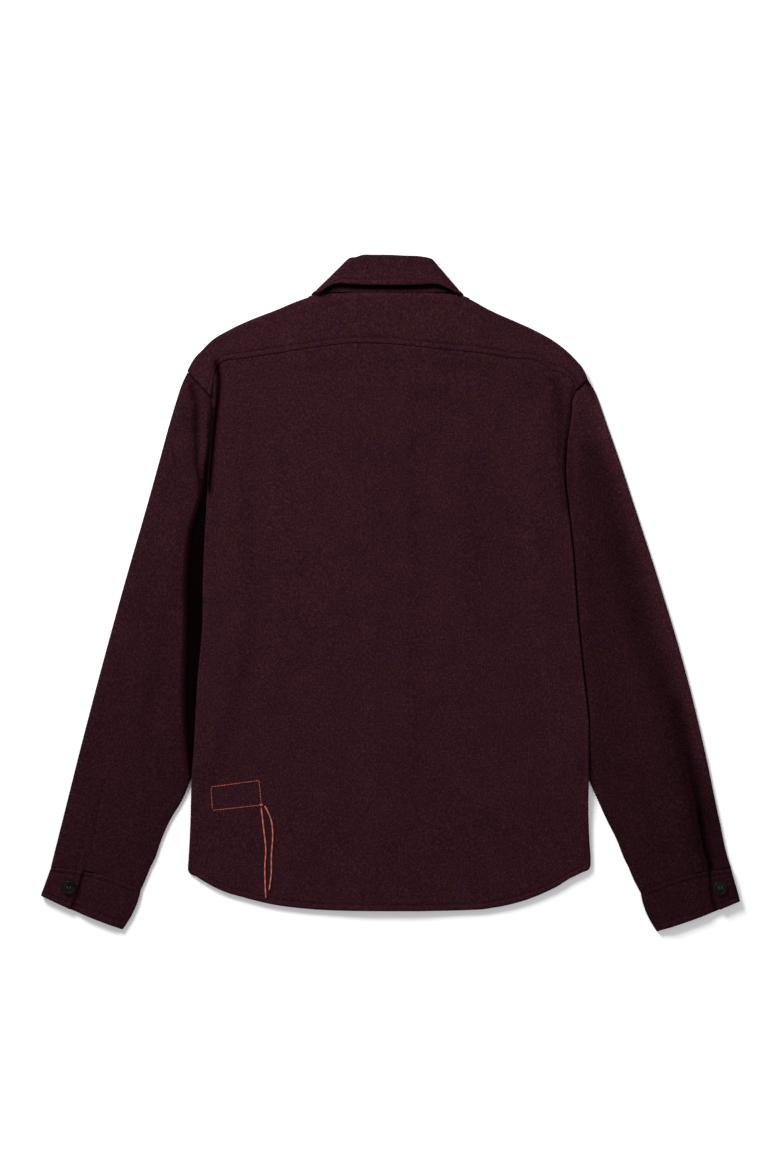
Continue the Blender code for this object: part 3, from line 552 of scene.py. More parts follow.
def sew(name, node, outer, inner, keep=None, closed=False, shade=None):
    """A piece of cloth between two grids of points.

    keep says which squares of the grid are cloth, closed joins its last column to its first, and shade is the
    shade or light painted into the colour at each point, where 1 is the cloth's own colour.
    """
    rows, columns = outer.shape[:2]
    index = np.arange(rows * columns).reshape(rows, columns)
    if closed:
        index = np.hstack([index, index[:, :1]])
    corners = np.stack([index[:-1, :-1], index[:-1, 1:], index[1:, 1:], index[1:, :-1]], axis=-1)
    if keep is not None:
        corners = corners[keep]
    corners = corners.reshape(-1, 4)
    edges = np.stack([corners, np.roll(corners, -1, axis=1)], axis=-1).reshape(-1, 2)
    key = np.sort(edges, axis=1)
    _, which, uses = np.unique(key, axis=0, return_inverse=True, return_counts=True)
    rim = edges[uses[which.reshape(-1)] == 1]
    count = rows * columns
    faces = np.vstack([
        corners, corners[:, ::-1] + count,
        np.column_stack([rim[:, 1], rim[:, 0], rim[:, 0] + count, rim[:, 1] + count]),
    ])
    points = placed(np.vstack([outer.reshape(-1, 3), inner.reshape(-1, 3)]))
    used = np.unique(faces)
    renumber = np.zeros(2 * count, int)
    renumber[used] = np.arange(len(used))
    points, faces = points[used], renumber[faces]
    first, second, third, fourth = (points[faces[:, k]] for k in range(4))
    volume = (first * (np.cross(second, third) + np.cross(third, fourth))).sum()
    if volume < 0:
        faces = faces[:, ::-1]
    mesh = bpy.data.meshes.new(name)
    mesh.from_pydata(points.tolist(), [], faces.tolist())
    mesh.materials.append(wool)
    mesh.shade_smooth()
    # Painted shade and light on the points, as a share of the cloth's own colour, for the wool material.
    painted_share = np.ones((rows, columns)) if shade is None else np.broadcast_to(shade, (rows, columns))
    nap_bump_and_painted_shade = mesh.attributes.new("painted_shade_share", "FLOAT", "POINT")
    nap_bump_and_painted_shade.data.foreach_set("value", np.tile(painted_share.reshape(-1), 2)[used].astype(np.float32))
    made = add_object(name, mesh)
    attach(made, "root")
    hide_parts(node)


def inward(table, x):
    """The direction into the cloth from an edge that faces up the garment."""
    slope = (read(table, x + 2) - read(table, x - 2)) / 4
    size = np.hypot(slope, 1.0)
    return np.stack([slope / size, -1.0 / size], axis=-1)


def along_edge(table, part):
    """Points of an edge's table at shares of its width."""
    x = table[0][0] + np.asarray(part, float) * (table[-1][0] - table[0][0])
    return np.stack([x, read(table, x)], axis=-1)


def body_point(part, down):
    """Points of the body between the yoke seam, down = 0, and the hem, down = 1."""
    part = np.asarray(part, float)
    y, y_left, y_right = (
        along_edge(YOKE_SEAM, end)[..., 1] * (1 - down) + along_edge(HEM, end)[..., 1] * down
        for end in (part, 0.0, 1.0)
    )
    return np.stack([read(LEFT_EDGE, y_left) * (1 - part) + read(RIGHT_EDGE, y_right) * part, y], axis=-1)


def roll_points(edge, into, low_z, high_z, angle, wall=CLOTH):
    """Outer and inner points of a roll between a lower wall and an upper one."""
    radius = (high_z + wall - low_z) / 2
    lean = math.radians(angle)
    pair = []
    for reach in (radius, radius - wall):
        flat_part = (radius - reach * math.cos(lean))[..., None] * into
        spot = edge + flat_part
        pair.append(np.concatenate([spot, (low_z + radius + reach * math.sin(lean))[..., None]], axis=-1))
    return pair


def back_rise(x, y, from_hem):
    """What the creases, the hem's stitches and the rumple add to the back's own height."""
    return creases(x, y, BODY_CREASES) + rumple(x, y) + puffed(from_hem, HEM_STITCH)


HEM_OFFSETS = np.array([0.0, 0.4, 0.9, 1.6, 2.6, 3.8, 5.0, 5.8, 6.4, 7.0, 7.6, 8.4, 9.4, 11.0, 13.0])
SEAM_OFFSETS = np.array([0.0, 0.5, 1.1, 2.0, 3.2, 4.8, 7.0, 10.0])
SEAM_DIP = 0.5
SEAM_DIP_WIDTH = 2.5
BACK_ROWS = 150
BACK_COLUMNS = 140
back_parts = np.concatenate([
    EDGE_PARTS, np.linspace(0.047, 0.953, BACK_COLUMNS), 1 - np.array(EDGE_PARTS[::-1]),
])
back_long = (along_edge(YOKE_SEAM, back_parts) - along_edge(HEM, back_parts))[:, 1]
back_rows_outer, back_rows_inner = [], []
back_rows = [("seam", offset) for offset in SEAM_OFFSETS]
back_rows += [("middle", share) for share in np.linspace(0.022, 0.972, BACK_ROWS)]
back_rows += [("hem", offset) for offset in HEM_OFFSETS[::-1]]
for zone, amount in back_rows:
    if zone == "seam":
        downs = amount / back_long
    elif zone == "hem":
        downs = 1 - amount / back_long
    else:
        downs = np.full(len(back_parts), amount)
    spots = body_point(back_parts, downs)
    shift = SEAM_PARTING * (1 - downs[:, None])
    spots = spots + shift * inward(YOKE_SEAM, spots[:, 0])
    from_hem = (1 - downs) * back_long
    from_seam = downs * back_long
    under = high(spots[:, 0], spots[:, 1]) + back_rise(spots[:, 0], spots[:, 1], from_hem)
    under = under - SEAM_DIP * np.exp(-((from_seam / SEAM_DIP_WIDTH) ** 2))
    drawn_in = np.maximum(rounded(from_hem), SEAM_ROUND * rounded(from_seam))
    middle_outer = np.column_stack([spots, under + CLOTH - drawn_in])
    middle_inner = np.column_stack([spots, under + drawn_in])
    sides = []
    for side, part_end in ((1, 0.0), (-1, 1.0)):
        down = float(downs[0] if side > 0 else downs[-1])
        edge = body_point(part_end, down)
        into = np.array([side, 0.0])
        turned = edge[0] + side * SIDE_TURN
        end_share = 1 - np.clip(float(from_hem[0 if side > 0 else -1]) / HEM_CORNER, 0, 1)
        edge = edge + into * HEM_CORNER * 0.8 * (1 - math.sqrt(1 - end_share * end_share))
        inner_part = abs(part_end - 0.011)
        top_y = body_point(inner_part, down)[1] - SEAM_PARTING * (1 - down)
        turned_y = min(TURN_TOP_Y, float(along_edge(YOKE_SEAM, part_end)[1])) * (1 - down)
        turned_y += body_point(abs(part_end - 0.02), 1.0)[1] * down
        low_z = low(edge[0] + side * 5, edge[1])
        high_z = high(edge[0] + side * 5, edge[1])
        turned_low = float(low(turned, turned_y))
        outer_side, inner_side = [], []
        for step in np.linspace(0, 1, 4)[:-1]:
            at_x = turned - side * step * (SIDE_TURN - 5.0)
            draw = float(rounded(step * 5))
            outer_side.append([at_x, turned_y, turned_low * (1 - step) + low_z * step + draw])
            inner_side.append([at_x, turned_y, turned_low * (1 - step) + low_z * step + CLOTH - draw])
        for angle in ROLL_ANGLES:
            share = (1 + math.sin(math.radians(angle))) / 2
            at = np.array([edge[0], turned_y * (1 - share) + top_y * share])
            lead = roll_points(at, into, low_z, high_z, angle)[0][0]
            at[1] = min(at[1], float(read(YOKE_SEAM, lead)) - ROLL_BELOW_SEAM)
            rise = back_rise(edge[0] + side * 8, at[1], FAR) * float(ramp(share, 0.4, 1.0))
            pair = roll_points(at, into, low_z, high_z, angle)
            outer_side.append(pair[0] + [0, 0, rise])
            inner_side.append(pair[1] + [0, 0, rise])
        sides.append((outer_side, inner_side))
    back_rows_outer.append(np.vstack([sides[0][0], middle_outer, sides[1][0][::-1]]))
    back_rows_inner.append(np.vstack([sides[0][1], middle_inner, sides[1][1][::-1]]))
    if zone == "hem" and amount == HEM_STITCH:
        hem_line = middle_outer
back_outer = np.array(back_rows_outer)
sew(
    "back_panel", "back", back_outer, np.array(back_rows_inner),
    shade=painted_light_along(back_outer[..., 0], back_outer[..., 1], BODY_SHADES),
)


def fine_thread(name, grain, depth, **settings):
    """Thin thread with so many grains a metre, and their depth in millimetres."""
    made, tree, shader = new_material(name, **settings)
    place = add_node(tree, "TexCoord")
    grains = add_node(tree, "TexNoise", {"Vector": place.outputs["Object"], "Scale": grain})
    bump = add_node(tree, "Bump", {"Height": grains.outputs["Fac"], "Strength": 0.4, "Distance": depth * MM})
    tree.links.new(bump.outputs["Normal"], shader.inputs["Normal"])
    return made


# Wine spun polyester thread, a shade darker than the cloth, set down into the nap.
seam_thread = fine_thread(
    "wine_spun_thread", 2200.0, 0.2, Base_Color=linear("#1C0A0E"), Roughness=0.9, Specular_IOR_Level=0.1,
)
STITCH_PITCH = 3.6
STITCH_SHARE = 0.74
STITCH_RADIUS = 0.24
STITCH_SIDES = 6
STITCH_MARKS = np.array([0.0, 0.12, 0.35, 0.65, 0.88, 1.0])


def add_mesh(name, points, faces, finish, smoothed=True):
    """A mesh of plan points."""
    mesh = bpy.data.meshes.new(name)
    mesh.from_pydata(placed(points).tolist(), [], faces)
    mesh.materials.append(finish)
    if smoothed:
        mesh.shade_smooth()
    return add_object(name, mesh)


def stitch_rows(
    name, lines, finish=seam_thread, radius=STITCH_RADIUS, shown=STITCH_SHARE,
):
    """Rows of lock stitches on lines of points on the cloth, as one mesh of short arched threads."""
    points, faces = [], []
    arch = np.sin(np.pi * STITCH_MARKS)
    around = np.linspace(0, 2 * np.pi, STITCH_SIDES, endpoint=False)
    for line in lines:
        line = np.asarray(line, float)
        gone = gone_along(line)
        count = int(gone[-1] // STITCH_PITCH)
        starts = np.arange(count) * STITCH_PITCH + (gone[-1] - count * STITCH_PITCH) / 2
        for start in starts:
            marks = start + STITCH_PITCH * ((1 - shown) / 2 + shown * STITCH_MARKS)
            centre = at_marks(line, gone, marks)
            way = centre[-1] - centre[0]
            way = way / np.linalg.norm(way)
            side = np.array([-way[1], way[0], 0.0])
            side = side / np.linalg.norm(side)
            above = np.cross(way, side)
            centre = centre + above * (radius * (1.25 * arch - 0.55))[:, None]
            thick = radius * (0.55 + 0.45 * arch ** 0.5)
            first = len(points)
            for spot, reach in zip(centre, thick):
                for angle in around:
                    points.append(spot + reach * (math.cos(angle) * side + math.sin(angle) * above))
            rings = len(STITCH_MARKS)
            for ring in range(rings - 1):
                for k in range(STITCH_SIDES):
                    j = (k + 1) % STITCH_SIDES
                    a, b = first + ring * STITCH_SIDES, first + (ring + 1) * STITCH_SIDES
                    faces.append((a + k, a + j, b + j, b + k))
            faces.append(tuple(first + k for k in range(STITCH_SIDES))[::-1])
            faces.append(tuple(first + (rings - 1) * STITCH_SIDES + k for k in range(STITCH_SIDES)))
    made = add_mesh(name, points, faces, finish)
    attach(made, "root")


stitch_rows("hem_stitches", [hem_line])


# Orange box.
# A plain rectangle of orange stitches on the lower back, taken to hold a patch or a loop inside the garment.
# Its threads end in a small knot at one corner, where the two tails leave.
BOX_CORNERS = ((-214.8, 148.8), (-157.2, 156.6), (-154.2, 127.2), (-213.0, 120.6))
BOX_STEP = 2.0
BOX_THREAD_RADIUS = 0.42
BOX_STITCH_SHARE = 0.95
KNOT_RADIUS = 1.5
KNOT_THREAD_RADIUS = 0.55
KNOT_TURNS = 2.2
KNOT_MARKS = 60


def back_surface(x, y):
    """Height of the back's upper side, away from its hem."""
    return high(x, y) + back_rise(x, y, FAR) + CLOTH


# The same thread sewn tight, where it is pressed into the nap and looks duller and redder.
box_thread, box_tree, box_shader = new_material("orange_spun_thread_sewn", Roughness=0.7)
box_place = add_node(box_tree, "TexCoord")
box_noise = add_node(box_tree, "TexNoise", {"Vector": box_place.outputs["Object"], "Scale": 260.0})
box_colour = two_tones(box_tree, box_noise.outputs["Fac"], ("#7A3428", "#A34A38"), (0.35, 0.65))
box_tree.links.new(box_colour, box_shader.inputs["Base Color"])
box_lines = []
for corner, next_corner in zip(BOX_CORNERS, BOX_CORNERS[1:] + BOX_CORNERS[:1]):
    length = math.dist(corner, next_corner)
    shares = np.linspace(0, 1, round(length / BOX_STEP))[:, None]
    plan = np.array(corner) * (1 - shares) + np.array(next_corner) * shares
    box_lines.append(np.column_stack([plan, back_surface(*plan.T)]))
stitch_rows(
    "box_stitches", box_lines, finish=box_thread, radius=BOX_THREAD_RADIUS,
    shown=BOX_STITCH_SHARE,
)

knot_points = []
for mark in np.linspace(0, 1, KNOT_MARKS):
    turn = 2 * math.pi * KNOT_TURNS * mark
    swing = KNOT_RADIUS * (0.75 + 0.25 * math.cos(3 * turn / KNOT_TURNS))
    knot_points.append((
        BOX_CORNERS[2][0] + swing * math.cos(turn), BOX_CORNERS[2][1] + swing * 0.8 * math.sin(turn),
        float(back_surface(*BOX_CORNERS[2])) + 0.9 + 0.5 * math.sin(2 * turn + 1),
    ))
knot = add_thread("thread_knot", [knot_points], KNOT_THREAD_RADIUS, 3, box_thread)
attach(knot, "root")


# Yoke.
# A doubled strip of the same flannel over the shoulders, seamed to the back with a topstitched lap, turned
# over the shoulders to the front, and set under the collar at the neck.
NECK_LEFT, NECK_RIGHT = 0.30, 0.71
SHOULDER_TURN = 30.0
YOKE_STITCH = 6.8
ARMHOLE_STITCH = 7.6
YOKE_WIDE = TOP_EDGE[-1][0] - TOP_EDGE[0][0]
SEAM_SLANT = 0.72
# How much lighter the yoke's colour is painted than the back's.
YOKE_PAINTED_LIGHT = 1.08
# The yoke's row of stitches lies in a groove, with shade painted this much darker over this half width.
STITCH_SHADE = 0.26
STITCH_SHADE_WIDTH = 1.4
YOKE_END_OFFSETS = np.array([0.0, 0.5, 1.2, 2.2, 3.6, 5.4, 7.0, 8.6, 10.4, 12.4, 15.0])
YOKE_MIDDLE_COLUMNS = 120
YOKE_ROWS_ABOVE = 14
yoke_end_parts = YOKE_END_OFFSETS / YOKE_WIDE / SEAM_SLANT
yoke_parts = np.concatenate([
    yoke_end_parts[:-1], np.linspace(yoke_end_parts[-1], 1 - yoke_end_parts[-1], YOKE_MIDDLE_COLUMNS),
    1 - yoke_end_parts[:-1][::-1],
])
yoke_on_shoulder = (yoke_parts < NECK_LEFT + 0.001) | (yoke_parts > NECK_RIGHT - 0.001)
yoke_from_end = SEAM_SLANT * YOKE_WIDE * np.minimum(yoke_parts, 1 - yoke_parts)


def yoke_seam_point(part):
    """Points of the yoke's seam at shares of its length, moved off the back by the gap."""
    line_x = np.linspace(YOKE_SEAM[0][0], YOKE_SEAM[-1][0], 1200)
    line = np.column_stack([line_x, read(YOKE_SEAM, line_x)])
    gone = gone_along(line)
    spot = at_marks(line, gone, np.asarray(part) * gone[-1])
    return spot - SEAM_PARTING * inward(YOKE_SEAM, spot[..., 0])


def top_point(part, depth=0.0):
    """Points of the shoulder and neck line at shares of its width, moved down the garment by a depth."""
    spot = along_edge(TOP_EDGE, part)
    return spot + depth * inward(TOP_EDGE, spot[..., 0])


def yoke_rise(spots, from_seam, from_end):
    """What the creases, the seams and the rumple add to the yoke's own height."""
    x, y = spots[:, 0], spots[:, 1]
    seams = puffed(from_seam, YOKE_STITCH) + 0.8 * puffed(from_end, ARMHOLE_STITCH) * ramp(from_seam, 2, 14)
    return creases(x, y, BODY_CREASES) + rumple(x, y) + seams


yoke_outer, yoke_inner, yoke_from_seams, armhole_lines = [], [], [], [[], []]
for depth in np.linspace(SHOULDER_TURN, 6.0, 6):
    spots = top_point(yoke_parts, depth)
    under = low(spots[:, 0], spots[:, 1])
    draw = rounded(np.minimum(SHOULDER_TURN - depth, yoke_from_end))
    yoke_outer.append(np.column_stack([spots, under + draw]))
    yoke_inner.append(np.column_stack([spots, under + CLOTH - draw]))
yoke_edge = top_point(yoke_parts)
yoke_into = inward(TOP_EDGE, yoke_edge[:, 0])
yoke_at = yoke_edge + 5 * yoke_into
yoke_low, yoke_high = low(*yoke_at.T), high(*yoke_at.T)
yoke_end_draw = SEAM_ROUND * rounded(yoke_from_end)
yoke_neck = top_point(yoke_parts, -0.6)
yoke_neck_high = high(*yoke_neck.T)
for angle in ROLL_ANGLES:
    share = (1 + math.sin(math.radians(angle))) / 2
    outside, inside = roll_points(yoke_edge, yoke_into, yoke_low, yoke_high, angle)
    lift = np.zeros((len(yoke_parts), 3))
    lift[:, 2] = yoke_rise(outside, np.full(len(yoke_parts), FAR), yoke_from_end) * ramp(share, 0.4, 1)
    middle = (outside + inside) / 2
    squeeze = (1 - yoke_end_draw / CLOTH_HALF)[:, None]
    outside, inside = (middle + (spot - middle) * squeeze + lift for spot in (outside, inside))
    if angle == 90:
        raised = yoke_neck_high + lift[:, 2]
        flat_outside = np.column_stack([yoke_neck, raised + CLOTH])
        flat_inside = np.column_stack([yoke_neck, raised])
        outside = np.where(yoke_on_shoulder[:, None], outside, flat_outside)
        inside = np.where(yoke_on_shoulder[:, None], inside, flat_inside)
    yoke_outer.append(outside)
    yoke_inner.append(inside)
yoke_turned_rows = len(yoke_outer) - 1
yoke_start = top_point(yoke_parts, 4.0)
yoke_seam = yoke_seam_point(yoke_parts)
yoke_long = np.linalg.norm(yoke_start - yoke_seam, axis=1)
YOKE_SEAM_OFFSETS = np.array([0.0, 0.5, 1.2, 2.2, 3.4, 4.8, 5.8, 6.8, 7.8, 9.2, 11.0])
yoke_rows = [("above", share) for share in np.linspace(0.08, 1, YOKE_ROWS_ABOVE)]
yoke_rows += [("seam", offset) for offset in YOKE_SEAM_OFFSETS[::-1]]
for zone, amount in yoke_rows:
    shares = 1 - amount / yoke_long if zone == "seam" else amount * (1 - 13.0 / yoke_long)
    spots = yoke_start * (1 - shares[:, None]) + yoke_seam * shares[:, None]
    from_seam = (1 - shares) * yoke_long
    under = high(*spots.T) + yoke_rise(spots, from_seam, yoke_from_end)
    draw = SEAM_ROUND * rounded(np.minimum(from_seam, yoke_from_end))
    upper = np.column_stack([spots, under + CLOTH - draw])
    yoke_outer.append(upper)
    yoke_inner.append(np.column_stack([spots, under + draw]))
    yoke_from_seams.append(from_seam)
    if zone == "seam" and amount == YOKE_STITCH:
        yoke_line = upper[8:-8]
    for ends, column in zip(armhole_lines, (6, -7)):
        ends.append(upper[column])
yoke_outer = np.array(yoke_outer)
yoke_columns_kept = yoke_on_shoulder[:-1] & yoke_on_shoulder[1:]
yoke_keep = np.ones((len(yoke_outer) - 1, len(yoke_parts) - 1), bool)
yoke_keep[:yoke_turned_rows] = yoke_columns_kept
yoke_keep[yoke_turned_rows - 6:yoke_turned_rows] = yoke_on_shoulder[:-1] | yoke_on_shoulder[1:]
# The yoke's colour is painted lighter than the back's, with the body's painted shades and a painted shade
# along its row of stitches.
yoke_shade = painted_light_along(yoke_outer[..., 0], yoke_outer[..., 1], BODY_SHADES, YOKE_PAINTED_LIGHT)
off_stitch = (np.array(yoke_from_seams) - YOKE_STITCH) / STITCH_SHADE_WIDTH
yoke_shade[-len(yoke_rows):] *= 1 - STITCH_SHADE * np.exp(-off_stitch ** 2)
sew(
    "shoulder_yoke", "yoke", yoke_outer, np.array(yoke_inner), keep=yoke_keep,
    shade=yoke_shade,
)
stitch_rows("yoke_stitches", [yoke_line, *armhole_lines])


# Fronts.
# Two cut pieces that meet face down under the back. At the button placket the left one laps outside the
# right one, so the right one lies on top of it here. Both are plain but for the placket's two stitched rows
# and the hem.
FRONT_NECK = ((0.0, 671.0), (20.0, 672.0), (40.0, 677.0), (60.0, 685.0), (80.0, 697.0), (96.0, 707.0))
SHOULDER_SHARE = 0.6
TURN_PARTING = 2.6
PLACKET_ROWS = (5.0, 27.0)
LAP_RISE = LAYER + 0.1
LAP_END_X = (HALF_PLACKET + 3, 44)
FRONT_LONG = 620.0
FRONT_SINK = 0.5
FRONT_SINK_WIDTH = 1.6
HEM_SIDE_Y = 52.0
EDGES = {-1: LEFT_EDGE, 1: RIGHT_EDGE}
front_acrosses = np.concatenate([
    [0.0, 0.002, 0.005, 0.01], np.linspace(0.02, 0.83, 46), np.linspace(0.845, 0.99, 26),
    [0.9945, 0.998, 1.0],
])
front_downs = np.concatenate([
    [0.0, 0.001, 0.002, 0.004], np.linspace(0.01, 0.985, 110), [0.99, 0.995, 0.998, 0.9992, 1.0],
])


def front_point(side, across, down, centre):
    """Points of a front at a share down, from its side edge, across = 0, to its own edge past the centre."""
    corner_part = NECK_LEFT if side < 0 else NECK_RIGHT
    end_part = 0.0 if side < 0 else 1.0
    corner = top_point(corner_part, SHOULDER_TURN + GAP)
    shoulder_part = end_part + (corner_part - end_part) * across / SHOULDER_SHARE
    shoulder = top_point(shoulder_part, SHOULDER_TURN + GAP)
    share = (across - SHOULDER_SHARE) / (1 - SHOULDER_SHARE)
    neck_x = corner[0] * (1 - share) + centre * share
    neck_y = read(FRONT_NECK, np.abs(neck_x)) + (corner[1] - FRONT_NECK[-1][1]) * (1 - share)
    neck = np.stack([neck_x, neck_y], axis=-1)
    top = np.where((across < SHOULDER_SHARE)[:, None], shoulder, neck)

    def crossing(y):
        return (read(EDGES[side], y) - side * (SIDE_TURN + TURN_PARTING)) * (1 - across) + centre * across

    hem_y = read(HEM, crossing(HEM_SIDE_Y))
    y = top[:, 1] * (1 - down) + hem_y * down
    own = ramp((y - TURN_TOP_Y - 6) / (top[:, 1] - TURN_TOP_Y - 6), 0, 1)
    return crossing(y) * (1 - own) + top[:, 0] * own, y


for side, node in ((-1, "front_left"), (1, "front_right")):
    centre = -side * HALF_PLACKET
    outer_rows, inner_rows = [], []
    for down in front_downs:
        x, y = front_point(side, front_acrosses, down, centre)
        under = low(x, y)
        if side > 0:
            under = under + LAP_RISE * (1 - ramp(x, *LAP_END_X))
        from_centre = np.abs(x - centre)
        from_hem = (1 - down) * FRONT_LONG
        off_rows = [from_centre - row for row in PLACKET_ROWS] + [from_hem - HEM_STITCH]
        sunk = sum(FRONT_SINK * np.exp(-((off / FRONT_SINK_WIDTH) ** 2)) for off in off_rows)
        draw = rounded(np.minimum(np.minimum(from_centre, from_hem), down * FRONT_LONG))
        outer_rows.append(np.column_stack([x, y, under + sunk + draw]))
        inner_rows.append(np.column_stack([x, y, under + CLOTH - draw]))
    sew(node + "_panel", node, np.array(outer_rows), np.array(inner_rows))


# Sleeves.
# Each is one cut piece sewn into a tube, lying flat with its underarm seam under the body. The cloth keeps
# soft lengthwise folds, and a narrow placket strip runs up from the cuff opening.
LEFT_SLEEVE_OUTER = (
    (51.6, 408.0), (61.2, 405.6), (109.2, 393.6), (205.2, 369.6), (301.2, 344.4), (397.2, 318.0),
    (493.2, 290.4), (541.2, 277.2), (589.2, 264.0), (613.2, 256.8), (637.2, 248.4), (646.8, 243.6),
)
LEFT_SLEEVE_INNER = (
    (25.8, 299.0), (37.2, 294.0), (51.6, 288.0), (61.2, 283.2), (85.2, 274.8), (109.2, 264.0),
    (133.2, 249.6), (156.0, 240.0), (229.2, 211.2), (325.2, 189.6), (403.2, 184.8),
)
RIGHT_SLEEVE_OUTER = (
    (50.4, 410.4), (61.2, 406.8), (109.2, 396.0), (205.2, 375.6), (301.2, 351.6), (397.2, 322.8),
    (493.2, 291.6), (541.2, 276.0), (589.2, 259.2), (613.2, 250.8), (625.2, 246.0), (638.4, 237.6),
)
RIGHT_SLEEVE_INNER = (
    (21.6, 301.0), (37.2, 292.8), (51.6, 286.8), (61.2, 282.0), (85.2, 272.4), (109.2, 260.4),
    (133.2, 249.6), (158.4, 238.4), (229.2, 213.6), (325.2, 192.0), (403.2, 187.2),
)
SLEEVE_EDGES = {-1: (LEFT_SLEEVE_OUTER, LEFT_SLEEVE_INNER), 1: (RIGHT_SLEEVE_OUTER, RIGHT_SLEEVE_INNER)}
SLEEVE_FLAT = 4.7
SLEEVE_CREST = 8.2
SLEEVE_LONG = 600.0
SLEEVE_ROLL = SLEEVE_FLAT / 2
CAP_BULGE = 36.0
CAP_TURN = 14
CAP_END = (0.0, 0.4)
END_BULGE = 7.0
END_BULGE_START = (0.75, 1.0)
# Placket strips as y, x on the garment's plan.
PLACKETS = {
    -1: ((48.0, -371.5), (74.4, -364.3), (109.2, -357.6), (138.0, -351.6), (156.0, -346.6), (163.0, -344.0)),
    1: ((54.0, 382.8), (78.0, 376.8), (126.0, 368.4), (163.0, 360.4), (201.6, 354.0), (247.0, 339.6)),
}
PLACKET_TOP = {-1: 162.0, 1: 168.0}
PLACKET_HALF = 4.2
PLACKET_STITCH = 1.5
# The gap between each sleeve's crest and the body, as y, width, and the crest's height over the sleeve.
GAPS = {
    -1: (
        (120.0, 2.0), (158.0, 4.0), (204.0, 10.0), (270.0, 15.0), (337.0, 19.0), (404.0, 20.0),
        (457.0, 17.0), (493.0, 9.0), (527.0, 6.0), (583.0, 4.5), (615.0, 3.0), (645.0, 3.0),
    ),
    1: ((120.0, 1.2), (300.0, 1.6), (480.0, 1.4), (560.0, 1.2), (640.0, 1.2)),
}
GAP_WALL = {-1: (-3.0, 5.0), 1: (-0.9, 0.8)}
GAP_CREST = {-1: 4.6, 1: 4.2}
GAP_CREST_END = {-1: (470.0, 580.0), 1: (650.0, 720.0)}
CAP_RISE = {-1: 3.4, 1: 0.0}
GAP_CREST_START = (130, 230)
GAP_CREST_WIDTH = 42.0
CAP_RISE_START = (560, 612)
# The crease beside the right placket, as its half width, its depth and the y where it ends.
PLACKET_CREASE = (6, 2.2, (180, 250))
SEAM_DRAW = 0.3
SEAM_DRAW_WIDTH = 4.0
SLEEVE_CREASES = {
    -1: (
        (((493, -227), (521, -229), (534, -232), (575, -233), (606, -233), (645, -243)), 4.0, -2.6),
        (((470, -222), (527, -222), (583, -221), (625, -224)), 4.5, 1.6),
        (((120, -318), (260, -296), (400, -272), (520, -252)), 15.0, 0.9),
        (((60, -345), (150, -330), (250, -318)), 12.0, 0.7),
        (((80, -378), (180, -356), (300, -326)), 13.0, -0.8),
        (((300, -300), (420, -270), (560, -246)), 10.0, -0.6),
        (((70, -300), (110, -304), (150, -292)), 8.0, 0.7),
    ),
    1: (
        (((150, 366), (270, 341), (404, 301), (540, 263)), 13.0, -2.6),
        (((70, 382), (126, 369), (200, 355), (262, 341)), 7.0, -2.0),
        (((120, 332), (270, 306), (404, 268), (540, 236)), 17.0, 1.4),
        (((180, 262), (300, 244), (440, 232), (560, 226)), 10.0, 0.8),
        (((470, 222), (530, 219), (590, 222)), 5.0, -1.2),
        (((60, 312), (130, 300), (230, 276)), 12.0, 0.8),
        (((60, 345), (120, 336), (180, 322)), 8.0, -0.6),
    ),
}
# Short wrinkles across the sleeve, as the middle's x and y, direction, length, half width and height.
SLEEVE_WRINKLES = {
    -1: ((-262, 560, -22, 26, 5.0, 0.5), (-330, 236, 28, 30, 6.0, 0.5), (-300, 120, 35, 24, 5.0, 0.45)),
    1: ((248, 596, 20, 24, 4.5, 0.5), (300, 300, -24, 34, 6.5, 0.5), (318, 110, -35, 26, 5.0, 0.5)),
}
SLEEVE_ROWS = 190
SLEEVE_TOP_COLUMNS = 96
SLEEVE_UNDER_COLUMNS = 24


def sleeve_ends(side, along):
    """The sleeve's outer edge and its underarm at a share of its length."""
    ends = []
    for table in SLEEVE_EDGES[side]:
        y = table[-1][0] * (1 - along) + table[0][0] * along
        ends.append(np.array([side * float(read(table, y)), y]))
    return ends


def sleeve_plan(side, across, along):
    """Points across a sleeve, from its outer edge to the underarm, at a share of its length."""
    first, last = sleeve_ends(side, along)
    across = np.asarray(across, float)[..., None]
    crown = (1 - (1 - np.clip(across, 0, 1)) ** CAP_TURN) * (1 - across)
    cap = CAP_BULGE * crown * (1 - ramp(along, *CAP_END))
    end = END_BULGE * 4 * across * (1 - across) * ramp(along, *END_BULGE_START)
    return first * (1 - across) + last * across + np.concatenate([-side * cap, end], axis=-1)


def wrinkles(x, y, table):
    """Height that the short wrinkles of a table add at points."""
    total = np.zeros(np.broadcast(x, y).shape)
    for middle_x, middle_y, turn, length, width, rise in table:
        lean = math.radians(turn)
        run = (x - middle_x) * math.cos(lean) + (y - middle_y) * math.sin(lean)
        off = (y - middle_y) * math.cos(lean) - (x - middle_x) * math.sin(lean)
        total = total + rise * np.exp(-((run / length) ** 2) - (off / width) ** 2)
    return total


def placket_rise(side, x, y):
    """A lapped strip, with a sunk row of stitches down each edge."""
    off = np.abs(x - read(PLACKETS[side], y))
    held = 1 - ramp(y, PLACKET_TOP[side] - 3, PLACKET_TOP[side] + 3)
    step = 0.9 * (1 - ramp(off, PLACKET_HALF - 0.8, PLACKET_HALF + 0.8))
    sunk = 0.4 * np.exp(-(((off - PLACKET_HALF + PLACKET_STITCH) / 0.8) ** 2))
    groove = 0.6 * np.exp(-(((off - PLACKET_HALF - 1.6) / 1.3) ** 2))
    return held * (step - sunk - groove)


def past_gap(side, x, y):
    """How far a point is out from the gap between the body and the crest of the sleeve."""
    return side * (x - read(EDGES[side], y)) - read(GAPS[side], y)


